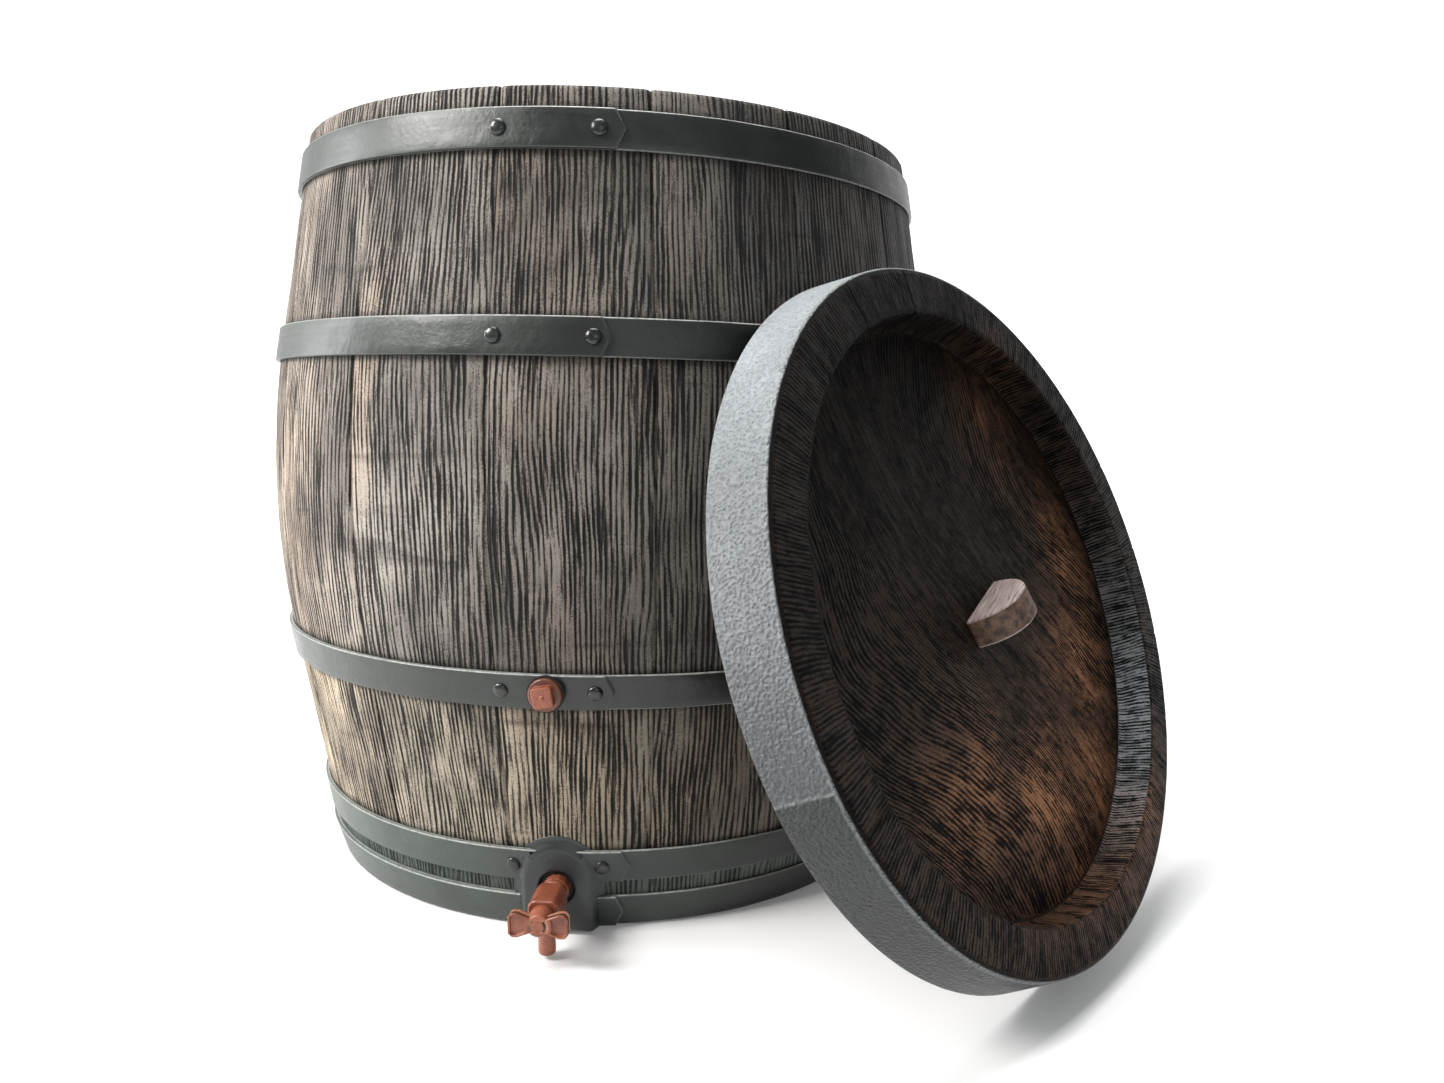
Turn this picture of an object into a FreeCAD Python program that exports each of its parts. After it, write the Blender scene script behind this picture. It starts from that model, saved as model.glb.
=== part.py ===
"""Rain barrel: a moulded cask with straps, a drain tap, a side plug and a lift-off lid.

Millimetres. +Z is up, the origin is the middle of the underside, the tap faces -Y.
"""
import FreeCAD, Part
import math
import os
import Sketcher

V = FreeCAD.Vector

# ------------------------------------------------------------------ sizes
SIZES = {
    # barrel shell
    "barrel_height": 563.0, "belly_radius": 280.0, "belly_height": 285.0,
    "stave_curve": 700.0, "rim_radius": 239.5, "wall": 5.0,
    "foot_radius": 241.5, "foot_width": 18.0, "centre_pad": 60.0, "base_recess": 6.0, "floor_thick": 5.0,
    "rim_lip": 9.0, "rim_lip_height": 10.0,
    "stave_count": 16.0, "groove_depth": 1.8, "groove_width": 2.4, "stave_turn": 3.6,
    # straps
    "strap_height": 24.5, "strap_thick": 2.2, "base_band_height": 27.0, "ground_gap": 1.0,
    "base_band_radius": 249.0, "base_band_thick": 2.8,
    "hoop_top_base": 524.0, "hoop_upper_base": 399.0,
    "hoop_lower_base": 172.0, "hoop_bottom_base": 39.0,
    "lap_reach": 39.0, "lap_point": 6.0,
    # rivets
    "rivet_head": 5.3, "rivet_dome": 2.6, "rivet_shank": 2.5,
    "rivet_length": 7.0, "rivet_spread": 31.2,
    # tap housing
    "housing_width": 52.0, "housing_height": 67.0, "housing_stand": 4.01,
    "housing_gap": 0.2, "housing_edge": 4.0, "recess_radius": 13.0, "recess_depth": 6.0,
    # tap
    "tap_height": 36.0, "tail_radius": 8.0, "tail_spare": 3.0, "tail_bore": 4.8,
    "gasket_thick": 2.5, "gasket_radius": 12.0, "collar_flats": 19.6, "collar_length": 9.0,
    "neck_radius": 8.4, "neck_length": 7.0, "tap_block": 21.0, "tap_block_length": 28.0,
    "valve_radius": 7.0, "valve_length": 21.0, "run_fit": 0.06,
    "outlet_radius": 6.0, "outlet_bore": 4.0, "outlet_drop": 32.5, "outlet_back": 10.0,
    "hub_radius": 8.5, "hub_length": 7.0, "wing_span": 40.0, "wing_height": 17.0,
    "wing_thick": 8.0, "wing_waist": 7.0, "wing_rim": 1.6, "wing_dish": 2.2,
    "o_ring": 0.9, "turn_gap": 0.4, "screw_radius": 1.5, "screw_head": 2.8,
    # nuts and washers
    "nut_flats": 26.0, "nut_thick": 8.0, "washer_radius": 16.0, "washer_thick": 3.0,
    "hole_gap": 0.4,
    # side plug
    "plug_radius": 7.0, "plug_spare": 0.4, "plug_flange": 11.4, "plug_flange_thick": 3.0,
    "plug_head": 14.0, "plug_head_height": 7.0, "plug_washer": 12.6, "plug_washer_thick": 2.5,
    "seat_gap": 0.3,
    # lid
    "lid_fit": 0.5, "lid_skirt": 40.0, "lid_wall": 2.2, "lid_band_thick": 1.6,
    "lid_top_inset": 8.0, "lid_rim_inner": 206.0, "lid_dish_radius": 201.5,
    "lid_dish_depth": 26.0, "lid_dome": 5.0, "lid_band_height": 38.0,
    "grip_width": 56.0, "grip_height": 33.0, "grip_thick": 21.0, "grip_turn": 24.0,
    "grip_seat": 36.0, "grip_screw": 2.2, "grip_screw_space": 30.0, "grip_screw_reach": 12.0,
    # where the lid stands, leaning on the side of the cask
    "lid_around": 52.3, "lid_turn": 51.9, "lid_tip": 21.7, "lean_gap": 0.6,
}


class Size:
    """A number together with the spreadsheet expression that gives it."""

    def __init__(self, value, text):
        self.value = float(value)
        self.text = text

    def join(self, other, sign, value):
        return Size(value, "(" + self.text + " " + sign + " " + as_size(other).text + ")")

    def __add__(self, other):
        return self.join(other, "+", self.value + as_size(other).value)

    def __sub__(self, other):
        return self.join(other, "-", self.value - as_size(other).value)

    def __mul__(self, other):
        return self.join(other, "*", self.value * as_size(other).value)

    def __truediv__(self, other):
        return self.join(other, "/", self.value / as_size(other).value)

    def __neg__(self):
        return Size(-self.value, "(0 - " + self.text + ")")


def as_size(thing):
    return thing if isinstance(thing, Size) else Size(thing, repr(float(thing)))


def root(size):
    return Size(math.sqrt(size.value), "sqrt(" + size.text + ")")


doc = FreeCAD.newDocument("rain_barrel")
sheet = doc.addObject("Spreadsheet::Sheet", "sizes")
for row, (word, number) in enumerate(SIZES.items(), start=1):
    sheet.set("A%d" % row, word)
    sheet.set("B%d" % row, str(number))
    sheet.setAlias("B%d" % row, word)
doc.recompute()


def size(word):
    return Size(SIZES[word], "sizes." + word)


ZERO = as_size(0)


# ------------------------------------------------------------------ helpers
def bind(obj, prop, amount):
    amount = as_size(amount)
    obj.setExpression(prop, amount.text)
    return obj


def make_body(name):
    return doc.addObject("PartDesign::Body", name)


def origin_plane(body, role):
    return [f for f in body.Origin.OriginFeatures if f.Role == role][0]


def new_sketch(body, name, role, lift=None):
    sketch = body.newObject("Sketcher::SketchObject", name)
    sketch.AttachmentSupport = [(origin_plane(body, role), "")]
    sketch.MapMode = "FlatFace"
    if lift is not None:
        bind(sketch, "AttachmentOffset.Base.z", lift)
    return sketch


def pin(sketch, geo, point, x, y):
    """Holds one point of the sketch at two bound distances from the origin."""
    for kind, amount in (("DistanceX", x), ("DistanceY", y)):
        if amount is None:
            continue
        amount = as_size(amount)
        index = sketch.addConstraint(Sketcher.Constraint(kind, -1, 1, geo, point, amount.value))
        sketch.setExpression("Constraints[%d]" % index, amount.text)


def polygon(sketch, points):
    """Closed outline of straight edges; every corner is pinned to named sizes."""
    corners = [(as_size(x), as_size(y)) for x, y in points]
    count = len(corners)
    lines = []
    for k in range(count):
        a = corners[k]
        b = corners[(k + 1) % count]
        start = V(a[0].value, a[1].value, 0)
        end = V(b[0].value, b[1].value, 0)
        lines.append(sketch.addGeometry(Part.LineSegment(start, end), False))
    for k in range(count):
        sketch.addConstraint(Sketcher.Constraint("Coincident", lines[k], 2, lines[(k + 1) % count], 1))
    for k in range(count):
        pin(sketch, lines[k], 1, corners[k][0], corners[k][1])


def circle(sketch, x, y, radius):
    radius = as_size(radius)
    centre = V(as_size(x).value, as_size(y).value, 0)
    geo = sketch.addGeometry(Part.Circle(centre, V(0, 0, 1), radius.value), False)
    pin(sketch, geo, 3, x, y)
    index = sketch.addConstraint(Sketcher.Constraint("Radius", geo, radius.value))
    sketch.setExpression("Constraints[%d]" % index, radius.text)
    return geo


def revolve(body, sketch, name):
    feature = body.newObject("PartDesign::Revolution", name)
    feature.Profile = sketch
    feature.ReferenceAxis = (sketch, ["V_Axis"])
    feature.Angle = 360.0
    return feature


def pad(body, sketch, name, length, middle=False, back=False):
    feature = body.newObject("PartDesign::Pad", name)
    feature.Profile = sketch
    feature.Midplane = middle
    feature.Reversed = back
    bind(feature, "Length", length)
    return feature


def pocket(body, sketch, name, length, middle=False, back=False):
    feature = body.newObject("PartDesign::Pocket", name)
    feature.Profile = sketch
    feature.Midplane = middle
    feature.Reversed = back
    bind(feature, "Length", length)
    return feature


def turned(name, points):
    """A body turned about its own Z axis from an outline of (radius, height) corners."""
    body = make_body(name)
    sketch = new_sketch(body, name + "_outline", "XZ_Plane")
    polygon(sketch, points)
    revolve(body, sketch, name + "_turned")
    return body


def cone(name, low, high, height, base=ZERO, shift=ZERO):
    obj = doc.addObject("Part::Cone", name)
    bind(obj, "Radius1", low)
    bind(obj, "Radius2", high)
    bind(obj, "Height", height)
    bind(obj, "Placement.Base.z", base)
    bind(obj, "Placement.Base.y", -as_size(shift))
    return obj


def cut(name, base, tool):
    obj = doc.addObject("Part::Cut", name)
    obj.Base = base
    obj.Tool = tool
    return obj


def common(name, base, tool):
    obj = doc.addObject("Part::Common", name)
    obj.Base = base
    obj.Tool = tool
    return obj


def fuse(name, shapes):
    obj = doc.addObject("Part::MultiFuse", name)
    obj.Shapes = shapes
    return obj


def group(name, shapes):
    obj = doc.addObject("Part::Compound", name)
    obj.Links = shapes
    return obj


def rod(name, radius, length, place):
    """Cylinder along its own Z axis, put at a Placement."""
    obj = doc.addObject("Part::Cylinder", name)
    bind(obj, "Radius", radius)
    bind(obj, "Height", length)
    obj.Placement = place
    return obj


def front_facing(x, y, z):
    """Placement whose own +Z axis points along -Y."""
    return FreeCAD.Placement(V(x, y, z), FreeCAD.Rotation(V(1, 0, 0), 90))


# ------------------------------------------------------------------ the cask outline
BELLY = size("belly_radius")
CURVE = size("stave_curve")
MIDDLE = size("belly_height")
KNEE_LOW = size("hoop_lower_base") + size("strap_height")
KNEE_HIGH = size("hoop_upper_base")
BAND_TOP = size("base_band_height")
HEIGHT = size("barrel_height")


def curve_radius(height, inset=ZERO):
    """Radius of the curved middle of the cask at a height."""
    arc = CURVE - inset
    rise = height - MIDDLE
    return BELLY - CURVE + root(arc * arc - rise * rise)


def lower_radius(height):
    """Radius of the straight lower part, between the base band and the lower hoop."""
    top = curve_radius(KNEE_LOW)
    share = (height - BAND_TOP) / (KNEE_LOW - BAND_TOP)
    return size("base_band_radius") + (top - size("base_band_radius")) * share


def upper_radius(height):
    """Radius of the straight upper part, between the upper hoop and the rim."""
    base = curve_radius(KNEE_HIGH)
    share = (height - KNEE_HIGH) / (HEIGHT - KNEE_HIGH)
    return base + (size("rim_radius") - base) * share


def foot_radius_at(height):
    return size("foot_radius") + (size("base_band_radius") - size("foot_radius")) * (height / BAND_TOP)


def cask_outline(sketch, lower, upper, inset):
    """Outline with the curved middle kept: corners below it, the arc, corners above it."""
    radius = CURVE - inset
    centre = V(BELLY.value - CURVE.value, MIDDLE.value, 0)
    low = math.asin((KNEE_LOW.value - MIDDLE.value) / radius.value)
    high = math.asin((KNEE_HIGH.value - MIDDLE.value) / radius.value)
    bow = Part.ArcOfCircle(Part.Circle(centre, V(0, 0, 1), radius.value), low, high)
    arc = sketch.addGeometry(bow, False)
    pin(sketch, arc, 3, BELLY - CURVE, MIDDLE)
    index = sketch.addConstraint(Sketcher.Constraint("Radius", arc, radius.value))
    sketch.setExpression("Constraints[%d]" % index, radius.text)
    pin(sketch, arc, 1, None, KNEE_LOW)
    pin(sketch, arc, 2, None, KNEE_HIGH)
    return arc


def chain(sketch, start, corners, end):
    """Straight edges from one pinned arc end, through pinned corners, to another arc end."""
    points = [start[2]] + [V(as_size(x).value, as_size(y).value, 0) for x, y in corners] + [end[2]]
    lines = []
    for a, b in zip(points[:-1], points[1:]):
        lines.append(sketch.addGeometry(Part.LineSegment(a, b), False))
    sketch.addConstraint(Sketcher.Constraint("Coincident", start[0], start[1], lines[0], 1))
    sketch.addConstraint(Sketcher.Constraint("Coincident", end[0], end[1], lines[-1], 2))
    for before, after in zip(lines[:-1], lines[1:]):
        sketch.addConstraint(Sketcher.Constraint("Coincident", before, 2, after, 1))
    for line, (x, y) in zip(lines[1:], corners):
        pin(sketch, line, 1, x, y)


def arc_end(height, inset):
    return V(curve_radius(height, inset).value, height.value, 0)


def shell_body():
    """The moulded shell: one turned outline, then the grooves between the staves."""
    body = make_body("shell_body")
    sketch = new_sketch(body, "shell_outline", "XZ_Plane")
    wall = size("wall")
    outer = cask_outline(sketch, None, None, ZERO)
    inner = cask_outline(sketch, None, None, wall)
    lip_base = HEIGHT - size("rim_lip_height")
    mouth = size("rim_radius") - size("rim_lip")
    above = [
        (size("rim_radius"), HEIGHT),
        (mouth, HEIGHT),
        (mouth, lip_base),
        (upper_radius(lip_base) - wall, lip_base - size("rim_lip") + wall),
    ]
    floor_top = size("base_recess") + size("floor_thick")
    ring_inner = size("foot_radius") - size("foot_width")
    below = [
        (size("base_band_radius") - wall, BAND_TOP),
        (foot_radius_at(floor_top) - wall, floor_top),
        (0, floor_top),
        (0, 0),
        (size("centre_pad"), 0),
        (size("centre_pad"), size("base_recess")),
        (ring_inner, size("base_recess")),
        (ring_inner, 0),
        (size("foot_radius"), 0),
        (size("base_band_radius"), BAND_TOP),
    ]
    chain(sketch, (outer, 2, arc_end(KNEE_HIGH, ZERO)), above, (inner, 2, arc_end(KNEE_HIGH, wall)))
    chain(sketch, (inner, 1, arc_end(KNEE_LOW, wall)), below, (outer, 1, arc_end(KNEE_LOW, ZERO)))
    revolve(body, sketch, "shell_turned")
    blade = new_sketch(body, "groove_outline", "XZ_Plane")
    depth = size("groove_depth")
    arc = cask_outline(blade, None, None, depth)
    around = [
        (size("rim_radius") - depth, HEIGHT),
        (BELLY + 6, HEIGHT),
        (BELLY + 6, BAND_TOP),
        (size("base_band_radius") - depth, BAND_TOP),
    ]
    chain(blade, (arc, 2, arc_end(KNEE_HIGH, depth)), around, (arc, 1, arc_end(KNEE_LOW, depth)))
    groove = pocket(body, blade, "stave_groove", size("groove_width"), middle=True)
    pattern = body.newObject("PartDesign::PolarPattern", "stave_grooves")
    pattern.Originals = [groove]
    pattern.Axis = (blade, ["V_Axis"])
    pattern.Angle = 360.0
    bind(pattern, "Occurrences", size("stave_count"))
    body.Tip = pattern
    turn = -90.0 + 180.0 / SIZES["stave_count"] + SIZES["stave_turn"]
    body.Placement = FreeCAD.Placement(V(0, 0, 0), FreeCAD.Rotation(V(0, 0, 1), turn))
    return body


# ------------------------------------------------------------------ straps
def strap(name, base, low, high, height, thick):
    """A conical band with a lapped, pointed outer end beside the tap line."""
    skin_low = low + thick
    skin_high = high + thick
    ring = cut(name + "_ring", cone(name + "_skin", skin_low, skin_high, height, base),
               cone(name + "_inside", low, high, height, base))
    outer = cone(name + "_lap_skin", skin_low, skin_high, height, base, thick)
    layer = cut(name + "_layer", outer, cone(name + "_core", low + thick / 2, high + thick / 2, height, base))
    body = make_body(name + "_lap_window")
    sketch = new_sketch(body, name + "_lap_outline", "XZ_Plane")
    left = -(BELLY + 40)
    tip = size("lap_reach") + size("lap_point")
    polygon(sketch, [(left, base), (size("lap_reach"), base), (tip, base + height / 2),
                     (size("lap_reach"), base + height), (left, base + height)])
    pad(body, sketch, name + "_lap_length", BELLY + 60)
    lap = common(name + "_lap", layer, body)
    return fuse(name + "_strap", [ring, lap])


def rivet_spot(base, radius_at, side):
    """Placement on the outer strap face, own +Z axis standing out along the surface normal."""
    middle = base.value + SIZES["strap_height"] / 2
    reach = radius_at(as_size(middle)).value
    low = radius_at(base).value
    high = radius_at(base + size("strap_height")).value
    lean = math.degrees(math.atan2(low - high, SIZES["strap_height"]))
    spread = math.degrees(math.asin(SIZES["rivet_spread"] / reach)) * side
    turn = FreeCAD.Rotation(V(0, 0, 1), spread)
    tip = FreeCAD.Rotation(V(1, 0, 0), 90 - lean)
    thick = SIZES["strap_thick"]
    skin = reach + thick * (1 + math.cos(math.radians(spread))) + 0.05
    return FreeCAD.Placement(turn.multVec(V(0, -skin, middle)), turn * tip)


def rivet(name, place):
    """Domed rivet: head on the strap, shank through it and blind into the shell."""
    head = size("rivet_head")
    dome = size("rivet_dome")
    body = turned(name, [
        (0, -size("rivet_length")), (size("rivet_shank"), -size("rivet_length")),
        (size("rivet_shank"), 0), (head, 0), (head, dome * 0.3), (head * 0.86, dome * 0.66),
        (head * 0.58, dome * 0.9), (0, dome)])
    body.Placement = place
    return body


def riveted(name, hoop, base, radius_at):
    """A hoop with its two rivets; returns the drilled hoop, the rivets and the drills."""
    spots = [rivet_spot(base, radius_at, side) for side in (-1, 1)]
    pins = [rivet("%s_rivet_%d" % (name, k + 1), spot) for k, spot in enumerate(spots)]
    drills = []
    for k, spot in enumerate(spots):
        back = spot.multiply(FreeCAD.Placement(V(0, 0, -SIZES["rivet_length"]), FreeCAD.Rotation()))
        drills.append(rod("%s_drill_%d" % (name, k + 1), size("rivet_shank"), size("rivet_length"), back))
    return cut(name + "_drilled", hoop, group(name + "_drill_set", drills)), pins, drills


# ------------------------------------------------------------------ tap housing
HOUSING_FRONT = lower_radius(size("housing_height")) + size("housing_stand")


def arch(name, margin, depth):
    """Round-topped prism standing on the ground, running back from the housing front."""
    body = make_body(name)
    sketch = new_sketch(body, name + "_outline", "XZ_Plane", HOUSING_FRONT)
    half = size("housing_width") / 2 + margin
    spring = size("housing_height") - size("housing_width") / 2
    centre = V(0, spring.value, 0)
    bow = Part.ArcOfCircle(Part.Circle(centre, V(0, 0, 1), half.value), 0, math.pi)
    arc = sketch.addGeometry(bow, False)
    pin(sketch, arc, 3, 0, spring)
    pin(sketch, arc, 1, half, spring)
    pin(sketch, arc, 2, None, spring)
    start = (arc, 2, V(-half.value, spring.value, 0))
    end = (arc, 1, V(half.value, spring.value, 0))
    foot = size("ground_gap")
    chain(sketch, start, [(-half, foot), (half, foot)], end)
    pad(body, sketch, name + "_block", depth, back=True)
    return body


def housing_solid():
    body = arch("housing_body", ZERO, HOUSING_FRONT - size("foot_radius") + 12)
    block = body.Tip
    doc.recompute()
    front = -HOUSING_FRONT.value
    picked = []
    for k, edge in enumerate(block.Shape.Edges, start=1):
        on_front = all(abs(v.Point.y - front) < 0.01 for v in edge.Vertexes)
        on_floor = all(abs(v.Point.z - SIZES["ground_gap"]) < 0.01 for v in edge.Vertexes)
        if on_front and not on_floor:
            picked.append("Edge%d" % k)
    rim = body.newObject("PartDesign::Fillet", "housing_edge_round")
    rim.Base = (block, picked)
    bind(rim, "Radius", size("housing_edge"))
    body.Tip = rim
    recess = new_sketch(body, "housing_recess", "XZ_Plane", HOUSING_FRONT)
    circle(recess, 0, size("tap_height"), size("recess_radius"))
    pocket(body, recess, "housing_recess_cut", size("recess_depth"))
    bore = new_sketch(body, "housing_bore", "XZ_Plane", HOUSING_FRONT)
    circle(bore, 0, size("tap_height"), size("tail_radius") + size("hole_gap"))
    pocket(body, bore, "housing_bore_cut", as_size(60))
    return body


# ------------------------------------------------------------------ tap pieces
TAP_FACE = HOUSING_FRONT.value


def tap_place(out=0.0):
    return front_facing(0, -TAP_FACE - out, SIZES["tap_height"])


def hexagon(sketch, flats, count=6):
    points = []
    for k in range(count):
        angle = math.pi / count + 2 * math.pi * k / count
        reach = flats / (2 * math.cos(math.pi / count))
        points.append((reach * math.cos(angle), reach * math.sin(angle)))
    polygon(sketch, points)


def bored_hex(name, flats, thick, bore, place):
    body = make_body(name)
    sketch = new_sketch(body, name + "_outline", "XY_Plane")
    hexagon(sketch, flats)
    circle(sketch, 0, 0, bore)
    pad(body, sketch, name + "_block", thick)
    body.Placement = place
    return body


SEAT = size("gasket_thick") - size("recess_depth")
TAP_FLAT = size("base_band_radius") - size("wall") - size("washer_thick") - 2
TAIL_END = TAP_FLAT - size("nut_thick") - size("tail_spare") - HOUSING_FRONT
NECK_START = SEAT + size("collar_length")
BLOCK_START = NECK_START + size("neck_length")
BLOCK_END = BLOCK_START + size("tap_block_length")
OUTLET_AT = BLOCK_END - size("outlet_back")
VALVE_BACK = BLOCK_END - size("valve_length")


def tap_body():
    """Threaded tail, hex collar, neck, square valve block and the spout, bored through."""
    body = make_body("tap_body_solid")
    stem = new_sketch(body, "tap_tail_outline", "XZ_Plane")
    tail_end = TAIL_END
    polygon(stem, [(0, tail_end), (size("tail_radius") - 1, tail_end), (size("tail_radius"), tail_end + 1),
                   (size("tail_radius"), NECK_START), (size("neck_radius"), NECK_START),
                   (size("neck_radius"), BLOCK_START + 1), (0, BLOCK_START + 1)])
    revolve(body, stem, "tap_tail")
    collar = new_sketch(body, "tap_collar_outline", "XY_Plane", SEAT)
    hexagon(collar, size("collar_flats"), 12)
    pad(body, collar, "tap_collar", size("collar_length"))
    block = new_sketch(body, "tap_block_outline", "XY_Plane", BLOCK_START)
    half = size("tap_block") / 2
    edge = size("tap_block") / 5
    polygon(block, [(-half, -half + edge), (-half + edge, -half), (half - edge, -half), (half, -half + edge),
                    (half, half - edge), (half - edge, half), (-half + edge, half), (-half, half - edge)])
    pad(body, block, "tap_block", size("tap_block_length"))
    spout = new_sketch(body, "tap_spout_outline", "XZ_Plane")
    circle(spout, 0, OUTLET_AT, size("outlet_radius"))
    pad(body, spout, "tap_spout", size("outlet_drop"))
    bore = new_sketch(body, "tap_valve_bore", "XY_Plane", BLOCK_END)
    circle(bore, 0, 0, size("valve_radius"))
    pocket(body, bore, "tap_valve_bore_cut", size("valve_length") + size("turn_gap"))
    flow = new_sketch(body, "tap_flow_bore", "XY_Plane", BLOCK_END)
    circle(flow, 0, 0, size("tail_bore"))
    pocket(body, flow, "tap_flow_bore_cut", as_size(200))
    drip = new_sketch(body, "tap_spout_bore", "XZ_Plane")
    circle(drip, 0, OUTLET_AT, size("outlet_bore"))
    pocket(body, drip, "tap_spout_bore_cut", size("outlet_drop") + 2, back=True)
    body.Placement = tap_place()
    return body


def tap_valve():
    """Turning plug: bored from the back, with one side port that lines up with the spout."""
    body = make_body("tap_valve_solid")
    outline = new_sketch(body, "valve_outline", "XZ_Plane")
    radius = size("valve_radius") - size("run_fit")
    ring = size("o_ring")
    seat = BLOCK_END - 3
    front = BLOCK_END + size("turn_gap")
    polygon(outline, [(0, VALVE_BACK), (radius, VALVE_BACK),
                      (radius, seat - ring), (radius - ring * 2, seat - ring),
                      (radius - ring * 2, seat + ring), (radius, seat + ring),
                      (radius, front), (0, front)])
    revolve(body, outline, "valve_turned")
    back = new_sketch(body, "valve_bore", "XY_Plane", VALVE_BACK)
    circle(back, 0, 0, size("outlet_bore") + 0.4)
    pocket(body, back, "valve_bore_cut", OUTLET_AT - VALVE_BACK + size("outlet_bore"), back=True)
    port = new_sketch(body, "valve_port", "YZ_Plane")
    circle(port, 0, OUTLET_AT, size("outlet_bore") - 0.2)
    pocket(body, port, "valve_port_cut", as_size(20), back=True)
    body.Placement = tap_place()
    return body


def o_ring():
    ring = doc.addObject("Part::Torus", "o_ring_solid")
    bind(ring, "Radius2", size("o_ring") - 0.02)
    bind(ring, "Radius1", size("valve_radius") - size("run_fit") - size("o_ring"))
    ring.Placement = tap_place(BLOCK_END.value - 3)
    return ring


def tap_handle():
    """Hub and bow-tie wings with raised rims round dished webs."""
    body = make_body("tap_handle_solid")
    start = BLOCK_END + size("turn_gap")
    hub_end = start + size("hub_length")
    hub = new_sketch(body, "handle_hub_outline", "XY_Plane", start)
    circle(hub, 0, 0, size("hub_radius"))
    pad(body, hub, "handle_hub", size("hub_length") + size("wing_thick"))
    wings = new_sketch(body, "handle_wing_outline", "XY_Plane", hub_end)
    half = size("wing_span") / 2
    tall = size("wing_height") / 2
    waist = size("wing_waist") / 2
    clip = size("wing_height") / 6
    polygon(wings, [(-half, -tall + clip), (-half + clip, -tall), (-half + clip * 2.2, -tall), (0, -waist),
                    (half - clip * 2.2, -tall), (half - clip, -tall), (half, -tall + clip),
                    (half, tall - clip), (half - clip, tall), (half - clip * 2.2, tall), (0, waist),
                    (-half + clip * 2.2, tall), (-half + clip, tall), (-half, tall - clip)])
    pad(body, wings, "handle_wings", size("wing_thick"))
    rim = size("wing_rim")
    for name, side in (("left", -1), ("right", 1)):
        for face, base, back in (("front", hub_end + size("wing_thick"), False), ("rear", hub_end, True)):
            dish = new_sketch(body, "handle_dish_%s_%s" % (name, face), "XY_Plane", base)
            near = (size("hub_radius") + rim) * side
            far = (half - rim) * side
            polygon(dish, [(near, -waist + rim * 0.2), (far, -tall + clip + rim), (far, tall - clip - rim),
                           (near, waist - rim * 0.2)])
            pocket(body, dish, "handle_dish_cut_%s_%s" % (name, face), size("wing_dish"), back=back)
    hole = new_sketch(body, "handle_screw_hole", "XY_Plane", hub_end + size("wing_thick"))
    circle(hole, 0, 0, size("screw_head") + 0.1)
    pocket(body, hole, "handle_screw_sink", as_size(2.0))
    shank = new_sketch(body, "handle_screw_bore", "XY_Plane", hub_end + size("wing_thick"))
    circle(shank, 0, 0, size("screw_radius"))
    pocket(body, shank, "handle_screw_bore_cut", as_size(60))
    body.Placement = tap_place()
    return body


def handle_screw():
    """Screw that holds the handle on the valve; its head sits in the hub."""
    top = (BLOCK_END + size("turn_gap") + size("hub_length") + size("wing_thick") - 2)
    tip = BLOCK_END - 5
    body = turned("handle_screw_solid", [
        (0, tip), (size("screw_radius"), tip), (size("screw_radius"), top), (size("screw_head"), top),
        (size("screw_head"), top + 1.2), (size("screw_head") * 0.6, top + 1.7), (0, top + 1.7)])
    body.Placement = tap_place()
    return body


# ------------------------------------------------------------------ build: cask
shell = shell_body()
hoops = {}
rivets = {}
drills = []
PLUG_HEIGHT = SIZES["hoop_lower_base"] + SIZES["strap_height"] / 2
for name, word, radius_at in (
        ("hoop_top", "hoop_top_base", upper_radius), ("hoop_upper", "hoop_upper_base", upper_radius),
        ("hoop_lower", "hoop_lower_base", lower_radius), ("hoop_bottom", "hoop_bottom_base", lower_radius)):
    base = size(word)
    top = base + size("strap_height")
    hoop = strap(name, base, radius_at(base), radius_at(top), size("strap_height"), size("strap_thick"))
    hoops[name], rivets[name], used = riveted(name, hoop, base, radius_at)
    drills.extend(used)
GROUND = size("ground_gap")
base_band = strap("base_band", GROUND, foot_radius_at(GROUND), size("base_band_radius"), BAND_TOP - GROUND,
                  size("base_band_thick"))

housing = housing_solid()
window = arch("housing_window", size("housing_gap"), HOUSING_FRONT - size("foot_radius") + 40)
lower_solid = cone("cask_lower_solid", size("base_band_radius"), curve_radius(KNEE_LOW),
                   KNEE_LOW - BAND_TOP, BAND_TOP)
foot_solid = cone("cask_foot_solid", size("foot_radius"), size("base_band_radius"), BAND_TOP, ZERO)
housing_cut = cut("housing_fitted", housing, fuse("cask_outside", [lower_solid, foot_solid]))

tail_hole = rod("tail_hole", size("tail_radius") + size("hole_gap"), BELLY,
                front_facing(0, -100, SIZES["tap_height"]))
plug_hole = rod("plug_hole", size("plug_radius") + size("hole_gap"), BELLY,
                front_facing(0, -100, PLUG_HEIGHT))
shell_cut = cut("shell_drilled", shell, group("shell_holes", drills + [tail_hole, plug_hole]))
lower_cut = cut("hoop_lower_holed", hoops["hoop_lower"], plug_hole)
bottom_cut = cut("hoop_bottom_fitted", hoops["hoop_bottom"], window)
band_cut = cut("base_band_fitted", base_band, window)

# ------------------------------------------------------------------ build: tap
wall = size("wall")
inner_cone = cone("cask_inner_solid", size("base_band_radius") - wall, curve_radius(KNEE_LOW, wall),
                  KNEE_LOW - BAND_TOP, BAND_TOP)
inner_foot = cone("cask_inner_foot", size("foot_radius") - wall, size("base_band_radius") - wall,
                  BAND_TOP, ZERO)
cavity = fuse("cask_inside", [inner_cone, inner_foot])


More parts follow.
